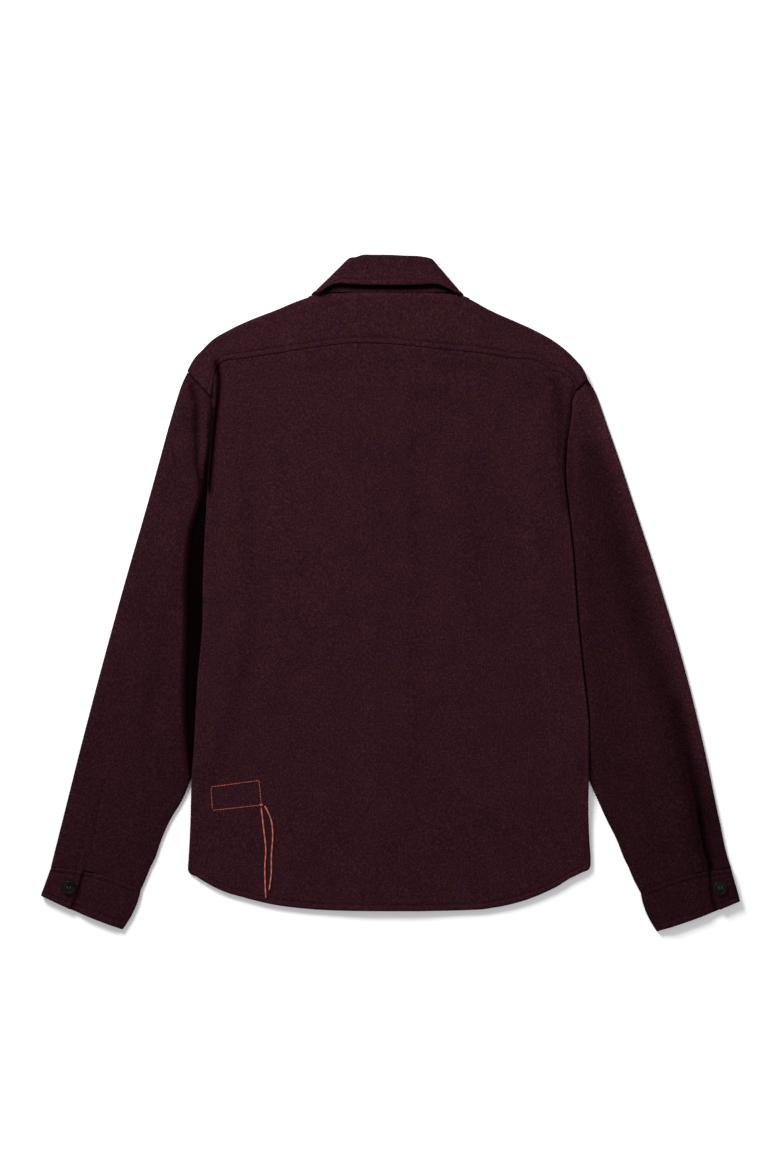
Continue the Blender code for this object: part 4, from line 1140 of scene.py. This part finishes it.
def sleeve_top(side, across, x, y):
    """Height of the sleeve's upper side, low where it goes under the body."""
    outside = past_gap(side, x, y)
    wall = ramp(outside, *GAP_WALL[side])
    full = np.maximum(np.sin(np.pi * np.clip(across, 0, 1)), 0.0) ** 0.7 * wall
    height = SLEEVE_FLAT + (SLEEVE_CREST - SLEEVE_FLAT) * full
    crest = GAP_CREST[side] * ramp(y, *GAP_CREST_START) * (1 - ramp(y, *GAP_CREST_END[side])) * wall
    height = height + crest * (1 - ramp(outside / GAP_CREST_WIDTH, 0.1, 1))
    height = height + CAP_RISE[side] * ramp(y, *CAP_RISE_START) * wall
    if side > 0:
        width, depth, end_y = PLACKET_CREASE
        crease = (x - read(PLACKETS[1], y)) / width
        height = height - depth * np.exp(-crease * crease) * (1 - ramp(y, *end_y)) * full
    shape = creases(x, y, SLEEVE_CREASES[side]) + wrinkles(x, y, SLEEVE_WRINKLES[side])
    shape = shape + 1.6 * rumple(x, y) + placket_rise(side, x, y)
    return np.maximum(height + shape * ramp(full, 0.0, 0.5), SLEEVE_FLAT)


# Painted shade over the sleeves, deeper than the body and deepest near the cuffs and on the right sleeve,
# turning to painted light near the right shoulder. As y, share of the cloth's own lightness.
SLEEVE_PAINTED_SHADE = {
    -1: ((0.0, 0.77), (260.0, 0.82), (450.0, 0.85), (650.0, 0.93)),
    1: (
        (0.0, 0.63), (60.0, 0.65), (260.0, 0.81), (450.0, 0.85), (540.0, 0.98), (600.0, 1.14), (650.0, 1.18),
    ),
}
# Shade painted at the bottom of each gap, as the share of light lost, and how much of that comes back
# towards the left shoulder.
GAP_DARK = {-1: 0.9, 1: 0.12}
GAP_DARK_START = (130, 175)
GAP_DARK_END = {-1: (500, 620, 0.4), 1: (500, 620, 0.0)}
# Lines of painted shade on the sleeves, as the line's y and x, half width and share of light lost. Below 0 it
# is painted light, as along the right sleeve's outer edge.
SLEEVE_SHADES = {
    -1: (
        (((500, -228), (521, -229), (534, -232), (575, -233), (606, -233), (641, -242)), 3.6, 0.62),
        (((70, -374), (110, -360), (160, -346)), 4.0, 0.10),
        (((60, -300), (110, -280), (170, -258)), 14.0, 0.08),
        (((200, -371), (300, -345), (400, -318), (490, -291), (600, -260)), 12.0, -0.12),
        (((200, -300), (330, -272), (450, -250), (560, -243)), 12.0, 0.09),
    ),
    1: (
        (
            ((20, 378), (109, 371), (181, 354), (253, 333), (325, 301), (397, 278), (469, 264), (529, 249),
             (575, 240)), 20.0, 0.27,
        ),
        (((30, 386), (78, 378), (126, 371), (170, 362), (262, 340)), 8.0, 0.36),
        (((40, 386), (54, 384.5), (78, 378.5), (126, 370.5)), 2.7, 0.62),
        (((40, 386), (54, 384.5), (78, 378.5), (126, 370.5), (160, 364)), 2.9, 0.40),
        (((40, 386), (54, 384.5), (78, 378.5), (126, 370.5), (195, 355)), 3.4, 0.28),
        (
            ((120, 394), (205, 376), (301, 352), (397, 323), (493, 292), (541, 276), (589, 259), (630, 246)),
            15.0, -0.62,
        ),
    ),
}


def gap_light(side, x, y):
    """The share of the cloth's colour kept where shade is painted into the gap between a sleeve's crest and
    the body.
    """
    start_y, end_y, back = GAP_DARK_END[side]
    lost = GAP_DARK[side] * ramp(y, *GAP_DARK_START) * (1 - ramp(y, start_y, end_y) * back)
    return 1 - lost * (1 - ramp(past_gap(side, x, y), -2.5, 2.5))


def sleeve_ring(side, along):
    """Outer and inner points round a sleeve, and the shade and light painted there."""
    first, last = sleeve_ends(side, along)
    length = float(np.linalg.norm(last - first))
    edge_share = SLEEVE_ROLL / length
    under = np.linspace(edge_share, 1 - edge_share, SLEEVE_UNDER_COLUMNS)
    upper = np.linspace(1 - edge_share, edge_share, SLEEVE_TOP_COLUMNS)
    spots = sleeve_plan(side, upper, along)
    top = sleeve_top(side, (upper - edge_share) / (1 - 2 * edge_share), spots[:, 0], spots[:, 1])
    top = top - SEAM_DRAW * np.exp(-(((1 - along) * SLEEVE_LONG / SEAM_DRAW_WIDTH) ** 2))
    turn = np.radians(np.arange(-70, 71, 20))
    ring = []
    for reach, under_z, upper_z in ((SLEEVE_ROLL, 0.0, top), (SLEEVE_ROLL - CLOTH, CLOTH, top - CLOTH)):
        across = np.concatenate([
            under, 1 - edge_share + reach * np.cos(turn) / length,
            upper, edge_share - reach * np.cos(turn[::-1]) / length,
        ])
        heights = np.concatenate([
            np.full(len(under), under_z), SLEEVE_ROLL + reach * np.sin(turn),
            upper_z, SLEEVE_ROLL + reach * np.sin(turn[::-1]),
        ])
        ring.append(np.column_stack([sleeve_plan(side, across, along), heights]))
    x, y, z = ring[0].T
    # Painted shade and light on the sleeve's upper side, and only the sleeve's overall painted shade below.
    nap_bump_and_painted_shade = read(SLEEVE_PAINTED_SHADE[side], y)
    light = painted_light_along(x, y, SLEEVE_SHADES[side], nap_bump_and_painted_shade) * gap_light(side, x, y)
    ring.append(np.where(z > SLEEVE_ROLL, light, nap_bump_and_painted_shade))
    return ring


sleeve_alongs = np.concatenate([
    np.linspace(0, 0.985, SLEEVE_ROWS), [0.989, 0.992, 0.9945, 0.9965, 0.998, 0.9992, 1.0],
])
for side, word in ((-1, "left"), (1, "right")):
    sleeve_name = word + "_sleeve"
    rings = [sleeve_ring(side, along) for along in sleeve_alongs]
    outer, inner, light = (np.array(part) for part in zip(*rings))
    sew(sleeve_name, "sleeve_" + word, outer, inner, closed=True, shade=light)
    placket_lines = []
    for offset in (-PLACKET_HALF + PLACKET_STITCH, PLACKET_HALF - PLACKET_STITCH):
        line_y = np.arange(PLACKETS[side][0][0] + 4, PLACKET_TOP[side] - 3, 2.0)
        line_x = read(PLACKETS[side], line_y) + offset
        outer_x, inner_x = (read(table, line_y) for table in SLEEVE_EDGES[side])
        share = (outer_x - np.abs(line_x)) / (outer_x - inner_x)
        placket_lines.append(np.column_stack([line_x, line_y, sleeve_top(side, share, line_x, line_y)]))
    stitch_rows(sleeve_name + "_placket_stitches", placket_lines)


# Cuffs.
# Each is a doubled strip, sewn to the sleeve's end, that goes round the wrist and buttons with its straight
# overlap on the upper side. Rows of stitches hold its edges 6 mm in.
CUFF_CLOTH = 2.8
CUFF_BOTTOM = {-1: ((-420.0, 18.6), (-321.0, -22.8)), 1: ((421.2, 12.0), (320.4, -25.2))}
CUFF_SEAM_SHIFT = 0.25
CUFF_BELLY = -2.0
CUFF_CURVE = 3.5
CUFF_LAYER = CUFF_CLOTH + GAP
CUFF_LOFT = 2.4
CUFF_STITCH = 6.0
# Places as shares of the cuff's width: its two folds, the end of the flap and where the cloth below it ends.
CUFF_FOLDS = (0.045, 0.97)
FLAP_END = {-1: 0.36, 1: 0.25}
UNDER_FLAP = 0.14
CUFF_WIDE = 112.0
CUFF_LONG = 44.0
# Painted shade over each cuff, deeper on the right one.
CUFF_PAINTED_SHADE = {-1: 0.78, 1: 0.64}
# Lines of painted shade on the cuffs, as y, x, beside the end of the overlap.
CUFF_SHADES = {
    -1: ((((-12, -378), (12, -377.5), (30, -372.5), (52, -370.5)), 2.2, 0.12),),
    1: ((((-14, 396), (6, 389), (28, 384.5), (52, 384)), 2.2, 0.72),),
}
CUFF_OFFSETS = np.array([0.0, 0.5, 1.2, 2.2, 3.4, 4.6, 5.4, 6.0, 6.6, 7.4, 8.6, 10.0])


def cuff_plan(side, across, down):
    """Points of the cuff at shares of its width and of its depth below the sleeve."""
    first, last = (np.array(end) for end in CUFF_BOTTOM[side])
    across = np.asarray(across, float)
    belly = (4 * across * (1 - across))[..., None]
    seam = sleeve_plan(side, across, 1.0) + np.array([side * 0.25, -0.97]) * CUFF_SEAM_SHIFT
    edge = first * (1 - across[..., None]) + last * across[..., None] + belly * [0.0, CUFF_BELLY]
    curve = CUFF_CURVE * (across * 4 * down * (1 - down))[..., None] * np.array([-side, 0.0])
    return seam * (1 - down) + edge * down + curve


def cuff_fold(middle, way, reach, angles):
    """Places round one fold of the cuff."""
    inner = reach - CUFF_CLOTH
    rows = []
    for lean in map(math.radians, angles):
        out, up = way * math.cos(lean) / CUFF_WIDE, math.sin(lean)
        outside, inside = (middle + reach * out, reach * (1 + up)), (middle + inner * out, reach + inner * up)
        rows.append((*outside, *inside, 0, FAR))
    return rows


def cuff_places(side):
    """Places round the cuff: outer across, outer height, inner across, inner height, which wall and how far
    from the flap's end. The walls are 2 for the flap, 0 for a fold, -1 for the lower and 1 for the upper."""
    flap = FLAP_END[side]
    upper = 2 * CUFF_LAYER
    rows = []
    for offset in np.concatenate([CUFF_OFFSETS, np.arange(12.5, (flap - 0.05) * CUFF_WIDE, 2.0)]):
        across = flap - offset / CUFF_WIDE
        rows.append((across, upper + CUFF_CLOTH, across, upper, 2, offset))
    rows += cuff_fold(CUFF_FOLDS[0], -1, (upper + CUFF_CLOTH) / 2, range(75, -76, -15))
    rows += [(across, 0.0, across, CUFF_CLOTH, -1, FAR) for across in np.linspace(0.05, 0.96, 44)]
    rows += cuff_fold(CUFF_FOLDS[1], 1, (CUFF_LAYER + CUFF_CLOTH) / 2, range(-75, 76, 15))
    for across in np.linspace(0.96, UNDER_FLAP, 52):
        loft = CUFF_LOFT * float(ramp(across, flap + 0.06, flap + 0.2) * (1 - ramp(across, 0.84, 0.97)))
        z = CUFF_LAYER + loft
        rows.append((across, z + CUFF_CLOTH, across, z, 1, max((across - UNDER_FLAP) * CUFF_WIDE, 8.0)))
    return np.array(rows)


cuff_downs = np.concatenate([
    CUFF_OFFSETS / CUFF_LONG, np.linspace(0.26, 0.74, 12), 1 - CUFF_OFFSETS[::-1] / CUFF_LONG,
])
STITCH_OFFSET_NUMBER = 7
cuff_stitch_rows = (STITCH_OFFSET_NUMBER, len(cuff_downs) - 1 - STITCH_OFFSET_NUMBER)
for side, word in ((-1, "left"), (1, "right")):
    outer_across, outer_z, inner_across, inner_z, wall, from_end = cuff_places(side).T
    outer_rows, inner_rows, cuff_lines = [], [], []
    for down in cuff_downs:
        from_edge = min(down, 1 - down) * CUFF_LONG
        plan = cuff_plan(side, outer_across, down)
        rise = 0.9 * puffed(from_edge, CUFF_STITCH) + 1.3 * rumple(*plan.T)
        rise = rise + 0.9 * puffed(from_end, CUFF_STITCH) * (wall == 2)
        draw = rounded(np.minimum(from_edge, np.where(wall == 2, from_end, FAR))) * (CUFF_CLOTH / CLOTH)
        way = np.where(wall > 0, 1.0, -1.0)
        moved = np.where(wall > 0, rise, np.where(wall < 0, 0.0, rise * ramp(outer_z, 5.0, 8.0)))
        squeeze_out = np.where(wall == 0, 0.0, draw * way)
        outer_rows.append(np.column_stack([plan, outer_z + moved - squeeze_out]))
        inner_plan = cuff_plan(side, inner_across, down)
        inner_rows.append(np.column_stack([inner_plan, inner_z + moved * (wall > 0) + squeeze_out]))
    cuff_outer, cuff_inner = np.array(outer_rows), np.array(inner_rows)
    cuff_light = painted_light_along(cuff_outer[..., 0], cuff_outer[..., 1], CUFF_SHADES[side], CUFF_PAINTED_SHADE[side])
    sew(word + "_cuff", "cuff_" + word, cuff_outer, cuff_inner, shade=cuff_light)
    flap_columns = np.flatnonzero(wall == 2)
    bare_columns = np.flatnonzero((wall == 1) & (outer_across > FLAP_END[side] + 0.01))
    for row in cuff_stitch_rows:
        cuff_lines.append(cuff_outer[row, flap_columns[STITCH_OFFSET_NUMBER:]])
        cuff_lines.append(cuff_outer[row, bare_columns])
    end_column = flap_columns[STITCH_OFFSET_NUMBER]
    cuff_lines.append(cuff_outer[cuff_stitch_rows[0]:cuff_stitch_rows[1] + 1, end_column])
    stitch_rows(word + "_cuff_stitches", cuff_lines)


# Collar.
# A pointed leaf of two layers, topstitched 7 mm from its edge, folds down over a stand that closes round the
# neck. At the back the leaf lies over the yoke, and its two sides turn under to the front.
STAND_CLOTH = 2.8
LEAF_CLOTH = 3.2
COLLAR_BASE = 3.2
COLLAR_TURN = 4.8
NECK_SEAM_Y = 742.8
STAND_SHORT = 6.0
STAND_END = (-16.0, 699.5, -16.0, 672.5)
CORNER_RISE = 6.0
COLLAR_STITCH = 7.0
# How far the leaf's edge stands up from the back, and over what width.
LEAF_CURL = 2.2
LEAF_CURL_WIDTH = 22
# Above this height the leaf lies on the back.
ON_BACK_Z = 12.0
COLLAR_TURN_ANGLES = (70, 35, 0, -35, -70)
# The collar on the back, as the roll's x and y and the fall edge's x and y.
BACK_COLLAR = (
    (-42.0, 783.6, -83.0, 747.5), (-32.0, 787.0, -66.0, 751.5), (-18.0, 787.0, -38.0, 750.6),
    (0.0, 787.0, -4.0, 750.0), (18.0, 786.2, 30.0, 750.2), (32.0, 785.8, 58.0, 750.8),
    (43.0, 780.0, 78.0, 746.4),
)
# The collar on the front from its side fold to the centre, as the roll, the neck seam and the fall edge.
FRONT_COLLAR = (
    (46.0, 768.0, 84.0, 724.0, 86.0, 726.0), (40.0, 745.0, 71.0, 698.0, 76.0, 702.0),
    (29.0, 722.0, 48.0, 683.0, 62.0, 674.0), (15.0, 708.0, 26.0, 675.0, 50.0, 651.0),
    (4.0, 703.0, 8.0, 672.5, 45.0, 643.0),
)
COLLAR_CORNERS = {-1: ((-48.5, 784.6), (-94.8, 739.2)), 1: ((50.0, 784.0), (88.8, 738.4))}
# The leaf where it rolls over the stand, as outer distance and height, then inner distance and height.
LEAF_PROFILE = (
    (-3.2, -2.6, 0.0, -2.6), (-3.2, 0.2, 0.0, -0.9), (-2.1, 2.2, 0.3, -0.2), (0.8, 3.2, 1.0, 0.0),
)


def side_stations(side):
    """Stations of one half, from the centre front to the back, each with its roll, neck and fall points."""
    stations = []
    for i, row in enumerate((*FRONT_COLLAR, STAND_END)[::-1]):
        flip = np.array([side, 1.0])
        fall = np.array(row[4:6]) * flip if len(row) > 4 else None
        lifted = CUFF_LAYER if side > 0 and i < 3 else 0.0
        roll, neck = np.array(row[0:2]) * flip, np.array(row[2:4]) * flip
        stations.append((roll, neck, fall, COLLAR_BASE, (0.0, 0.0, -1.0), lifted))
    roll, fall = (np.array(corner) for corner in COLLAR_CORNERS[side])
    line = (fall - roll) / np.linalg.norm(fall - roll)
    out = np.array([side * -line[1], side * line[0]])
    for angle in COLLAR_TURN_ANGLES[::-1]:
        lean = math.radians(angle)
        depth = LEAF_CLOTH + COLLAR_TURN * (1 - math.cos(lean))
        slide = max(math.sin(lean), 0.0) * (depth - LEAF_CLOTH)
        shift = -depth * out - slide * line
        normal = (out[0] * math.cos(lean), out[1] * math.cos(lean), math.sin(lean))
        rise = CORNER_RISE * max(math.sin(lean), 0.0) * line
        height = COLLAR_BASE + COLLAR_TURN * (1 + math.sin(lean))
        neck = fall + shift - rise / 3 - STAND_SHORT * line
        corner = roll + shift - max(math.sin(lean), 0.0) * LEAF_CLOTH * line
        stations.append((corner, neck, fall + shift - rise, height, normal, 0.0))
    return stations


def collar_stations():
    """Stations all along the collar, from the left half's centre front round the back to the right's."""
    back_part = [
        (
            np.array([roll_x, roll_y]), np.array([fall_x * 1.02, NECK_SEAM_Y]), np.array([fall_x, fall_y]),
            COLLAR_BASE + 2 * COLLAR_TURN, (0.0, 0.0, 1.0), 0.0,
        )
        for roll_x, roll_y, fall_x, fall_y in BACK_COLLAR[1:-1]
    ]
    return side_stations(-1) + back_part + side_stations(1)[::-1]


def finer(grid, row_marks, column_marks):
    """A grid of points read along smooth curves at fractional rows and columns."""
    for marks in (row_marks, column_marks):
        index = np.clip(np.floor(marks).astype(int), 0, len(grid) - 2)
        t = (marks - index)[:, None, None]
        ends = np.concatenate([[2 * grid[0] - grid[1]], grid, [2 * grid[-1] - grid[-2]]])
        before, first, last, after = (ends[index + k] for k in range(4))
        grid = curve_at(before, first, last, after, t).transpose(1, 0, 2)
    return grid


def collar_point(base, way, normal, height, across, rise):
    """A point at a distance across the collar from its roll, and at a height above the fold's middle."""
    flat = base + way * across
    return (flat[0] + normal[0] * rise, flat[1] + normal[1] * rise, height + normal[2] * rise)


LEAF_SHARES = (0.2, 0.4, 0.6, 0.8, 1.0)
leaf_outer, leaf_inner = [], []
for roll, _, fall, height, normal, _ in collar_stations():
    if fall is None:
        continue
    length = float(np.linalg.norm(fall - roll))
    way = (fall - roll) / length
    base = roll + way * LEAF_CLOTH
    width = length - LEAF_CLOTH
    rows = [*LEAF_PROFILE, *((width * s, LEAF_CLOTH, width * s, 0.0) for s in LEAF_SHARES)]
    leaf_outer.append([collar_point(base, way, normal, height, r[0], r[1]) for r in rows])
    leaf_inner.append([collar_point(base, way, normal, height, r[2], r[3]) for r in rows])
leaf_outer, leaf_inner = np.array(leaf_outer), np.array(leaf_inner)
leaf_station_marks = np.linspace(0, len(leaf_outer) - 1, 14 * (len(leaf_outer) - 1) + 1)
leaf_profile_marks = np.concatenate([
    np.linspace(0, 3, 13)[:-1], np.linspace(3, 7, 17)[:-1], np.linspace(7, 8, 15),
])
leaf_outer = finer(leaf_outer, leaf_station_marks, leaf_profile_marks)
leaf_inner = finer(leaf_inner, leaf_station_marks, leaf_profile_marks)
leaf_out = leaf_outer - leaf_inner
leaf_out = leaf_out / np.maximum(np.linalg.norm(leaf_out, axis=-1, keepdims=True), 1e-6)
leaf_from_edge = np.linalg.norm(leaf_outer - leaf_outer[:, -1:], axis=-1)
leaf_from_tips = [np.linalg.norm(leaf_outer - tip, axis=-1) for tip in (leaf_outer[:1], leaf_outer[-1:])]
leaf_rise = puffed(leaf_from_edge, COLLAR_STITCH)
leaf_rise = np.maximum(leaf_rise + 0.9 * rumple(leaf_outer[..., 0] * 1.4, leaf_outer[..., 1] * 2), -0.6)
leaf_draw = 1.3 * rounded(np.minimum(leaf_from_edge, np.minimum(*leaf_from_tips)))
leaf_on_back = ramp(leaf_outer[..., 2], 11.0, 13.5) * (leaf_out[..., 2] > 0.5)
leaf_curl = LEAF_CURL * leaf_on_back * (1 - ramp(leaf_from_edge, 0, LEAF_CURL_WIDTH))
leaf_outer = leaf_outer + leaf_out * (leaf_rise * ramp(leaf_outer[..., 2], 2.0, 9.0) - leaf_draw)[..., None]
leaf_outer[..., 2] = np.maximum(leaf_outer[..., 2], 0.0) + leaf_curl
leaf_inner = leaf_inner + leaf_out * leaf_draw[..., None]
leaf_inner[..., 2] = leaf_inner[..., 2] + leaf_curl
sew("collar_leaf_cloth", "collar_leaf", leaf_outer, leaf_inner)
leaf_stitch_column = int(np.argmin(np.abs(leaf_from_edge[len(leaf_from_edge) // 2] - COLLAR_STITCH)))
leaf_stitch_line = leaf_outer[:, leaf_stitch_column]
stitch_rows("collar_stitches", [leaf_stitch_line[leaf_stitch_line[:, 2] > ON_BACK_Z]])

# How far the stand reaches past its seam at the back, how light it is painted right under the leaf's edge as
# a painted shadow, and the distances below that edge where that painted shadow begins and ends to fade.
STAND_OVER = 0.9
STAND_DARK = 0.04
STAND_SHADE = (2.2, 7.5)
stand_outer, stand_inner = [], []
for roll, neck, _, height, normal, lifted in collar_stations():
    length = float(np.linalg.norm(neck - roll))
    way = (neck - roll) / length
    base = roll + way * LEAF_CLOTH
    width = length - LEAF_CLOTH + STAND_OVER * (normal[2] > 0.9)
    places_along = (0.6, width * 0.3, width * 0.6, width * 0.85, width)
    top, bottom = -GAP - lifted, -GAP - STAND_CLOTH - lifted
    stand_outer.append([collar_point(base, way, normal, height, p, top) for p in places_along])
    stand_inner.append([collar_point(base, way, normal, height, p, bottom) for p in places_along])
stand_marks = np.linspace(0, len(stand_outer) - 1, 8 * (len(stand_outer) - 1) + 1)
stand_across = np.linspace(0, 4, 17)
stand_outer = finer(np.array(stand_outer), stand_marks, stand_across)
stand_inner = finer(np.array(stand_inner), stand_marks, stand_across)
leaf_edge = leaf_outer[leaf_outer[:, -1, 2] > ON_BACK_Z, -1]
leaf_edge = leaf_edge[np.argsort(leaf_edge[:, 0])]
below_leaf = np.interp(stand_outer[..., 0], leaf_edge[:, 0], leaf_edge[:, 1]) - stand_outer[..., 1]
stand_light = STAND_DARK + (1 - STAND_DARK) * ramp(below_leaf, *STAND_SHADE)
sew("collar_stand_cloth", "collar_stand", stand_outer, stand_inner, shade=stand_light)


# Buttons.
# Turned and polished horn-look resin, 17 mm across, with a raised rim round a dished middle and four holes,
# sewn on with crossed thread. Six close the front, face down here, and one closes each cuff.
BUTTON_RADIUS = 8.6
BUTTON_THICK = 2.6
FIRST_BUTTON_Y = 610.0
BUTTON_PITCH = 95.0
FRONT_BUTTONS = 6
CUFF_BUTTONS = {-1: (-385.2, 28.0), 1: (396.0, 27.6)}
BUTTON_SIDES = 64
# Half section, as shares of the radius and the thickness.
BUTTON_SECTION = (
    (0.0, 0.66), (0.2, 0.66), (0.36, 0.67), (0.5, 0.70), (0.58, 0.75), (0.64, 0.84), (0.70, 0.92),
    (0.77, 0.98), (0.84, 1.0), (0.90, 0.97), (0.95, 0.89), (0.985, 0.76), (1.0, 0.6), (0.99, 0.42),
    (0.95, 0.2), (0.9, 0.06), (0.86, 0.0), (0.5, 0.0), (0.0, 0.0),
)
HOLE_RADIUS = 1.0
HOLE_REACH = 2.5
HOLE_SIDES = 20
SEWING_RADIUS = 0.32
SEWING_SHIFT = 0.3
BUTTON_CLOUD_MM = 5.0

# Polished resin with cloudy green and brown streaks in near black, and a soft gloss.
horn, horn_tree, horn_shader = new_material("polished_horn_resin", IOR=1.5, Specular_IOR_Level=0.05)
horn_place = add_node(horn_tree, "TexCoord")
horn_stretch = add_node(
    horn_tree, "Mapping", {"Vector": horn_place.outputs["Object"], "Scale": (1.0, 0.45, 1.0)},
)
horn_streaks = add_node(
    horn_tree, "TexNoise",
    {"Vector": horn_stretch.outputs["Vector"], "Scale": 1000 / BUTTON_CLOUD_MM, "Detail": 4.0,
     "Distortion": 1.2},
)
horn_colour = two_tones(horn_tree, horn_streaks.outputs["Fac"], ("#050604", "#14160E"), (0.35, 0.72))
horn_scratch = add_node(horn_tree, "TexNoise", {"Vector": horn_place.outputs["Object"], "Scale": 900.0})
horn_rough = add_node(
    horn_tree, "MapRange", {"Value": horn_scratch.outputs["Fac"], "To Min": 0.22, "To Max": 0.36},
)
horn_tree.links.new(horn_colour, horn_shader.inputs["Base Color"])
horn_tree.links.new(horn_rough.outputs["Result"], horn_shader.inputs["Roughness"])


def lathed(section, sides, x, y, levels):
    """Points and faces of a turned form. levels gives each section point's height."""
    points, faces = [], []
    angles = np.linspace(0, 2 * np.pi, sides, endpoint=False)
    rings = []
    for (share, _), level in zip(section, levels):
        if share == 0:
            rings.append([len(points)])
            points.append((x, y, level))
        else:
            rings.append(list(range(len(points), len(points) + sides)))
            reach = BUTTON_RADIUS * share
            points += [(x + reach * math.cos(a), y + reach * math.sin(a), level) for a in angles]
    for first, second in zip(rings, rings[1:]):
        for k in range(sides):
            j = (k + 1) % sides
            if len(first) == 1:
                faces.append((first[0], second[k], second[j]))
            elif len(second) == 1:
                faces.append((first[k], second[0], first[j]))
            else:
                faces.append((first[k], second[k], second[j], first[j]))
    return points, faces


def add_button(name, node, x, y, z, face_up):
    """A button with its middle at x and y and its lower side at z, and the thread that sews it on."""
    turn = 1 if face_up else -1
    base = z if face_up else z + BUTTON_THICK
    levels = [base + turn * BUTTON_THICK * rise for _, rise in BUTTON_SECTION]
    points, faces = lathed(BUTTON_SECTION, BUTTON_SIDES, x, y, levels)
    if not face_up:
        faces = [face[::-1] for face in faces]
    button = add_mesh(name, points, faces, horn)
    holes = []
    for hole in range(4):
        angle = math.pi / 4 + hole * math.pi / 2
        holes.append((x + HOLE_REACH * math.cos(angle), y + HOLE_REACH * math.sin(angle)))
    drill_points, drill_faces = [], []
    for hole_x, hole_y in holes:
        first = len(drill_points)
        for level in (z - 1, z + BUTTON_THICK + 1):
            for k in range(HOLE_SIDES):
                a = 2 * math.pi * k / HOLE_SIDES
                out_x, out_y = HOLE_RADIUS * math.cos(a), HOLE_RADIUS * math.sin(a)
                drill_points.append((hole_x + out_x, hole_y + out_y, level))
        ring = [first + k for k in range(HOLE_SIDES)]
        upper = [k + HOLE_SIDES for k in ring]
        for k in range(HOLE_SIDES):
            j = (k + 1) % HOLE_SIDES
            drill_faces.append((ring[k], ring[j], upper[j], upper[k]))
        drill_faces += [tuple(ring[::-1]), tuple(upper)]
    drill = add_mesh(name + "_drill", drill_points, drill_faces, horn, smoothed=False)
    cut = button.modifiers.new("holes", "BOOLEAN")
    cut.operation, cut.solver, cut.object = "DIFFERENCE", "EXACT", drill
    bpy.context.view_layer.update()
    drilled = bpy.data.meshes.new_from_object(button.evaluated_get(bpy.context.evaluated_depsgraph_get()))
    button.modifiers.remove(cut)
    button.data = drilled
    bpy.data.objects.remove(drill, do_unlink=True)
    drilled.set_sharp_from_angle(angle=math.radians(40))
    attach(button, "root")
    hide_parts(node)
    middle_level = base + turn * BUTTON_THICK * BUTTON_SECTION[0][1]
    marks = np.linspace(0, 1, 9)
    lift = 0.55 * np.sin(np.pi * marks) ** 0.5 - 0.35 * (1 - np.sin(np.pi * marks) ** 0.3)
    thread_lines = []
    for start, end in ((holes[0], holes[3]), (holes[1], holes[2])):
        for shift in (-SEWING_SHIFT, SEWING_SHIFT):
            thread_lines.append([
                (start[0] * (1 - m) + end[0] * m + shift, start[1] * (1 - m) + end[1] * m,
                 middle_level + turn * rise)
                for m, rise in zip(marks, lift)
            ])
    sewing = add_thread(name + "_sewing", thread_lines, SEWING_RADIUS, 2, button_thread, capped=False)
    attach(sewing, "root")


# Waxed thread in dark olive, a little lighter than the buttons.
button_thread = fine_thread(
    "olive_button_thread", 2500.0, 0.15, Base_Color=linear("#1F1C15"), Roughness=0.6,
)
CUFF_BUTTON_Z = 2 * CUFF_LAYER + CUFF_CLOTH + GAP
for side, word in ((-1, "left"), (1, "right")):
    add_button(f"{word}_cuff_button", f"cuff_button_{word}", *CUFF_BUTTONS[side], CUFF_BUTTON_Z, True)
for number in range(FRONT_BUTTONS):
    button_y = FIRST_BUTTON_Y - number * BUTTON_PITCH
    add_button(f"front_button_{number + 1}_horn", f"front_button_{number + 1}", 0.0, button_y, 0.0, False)
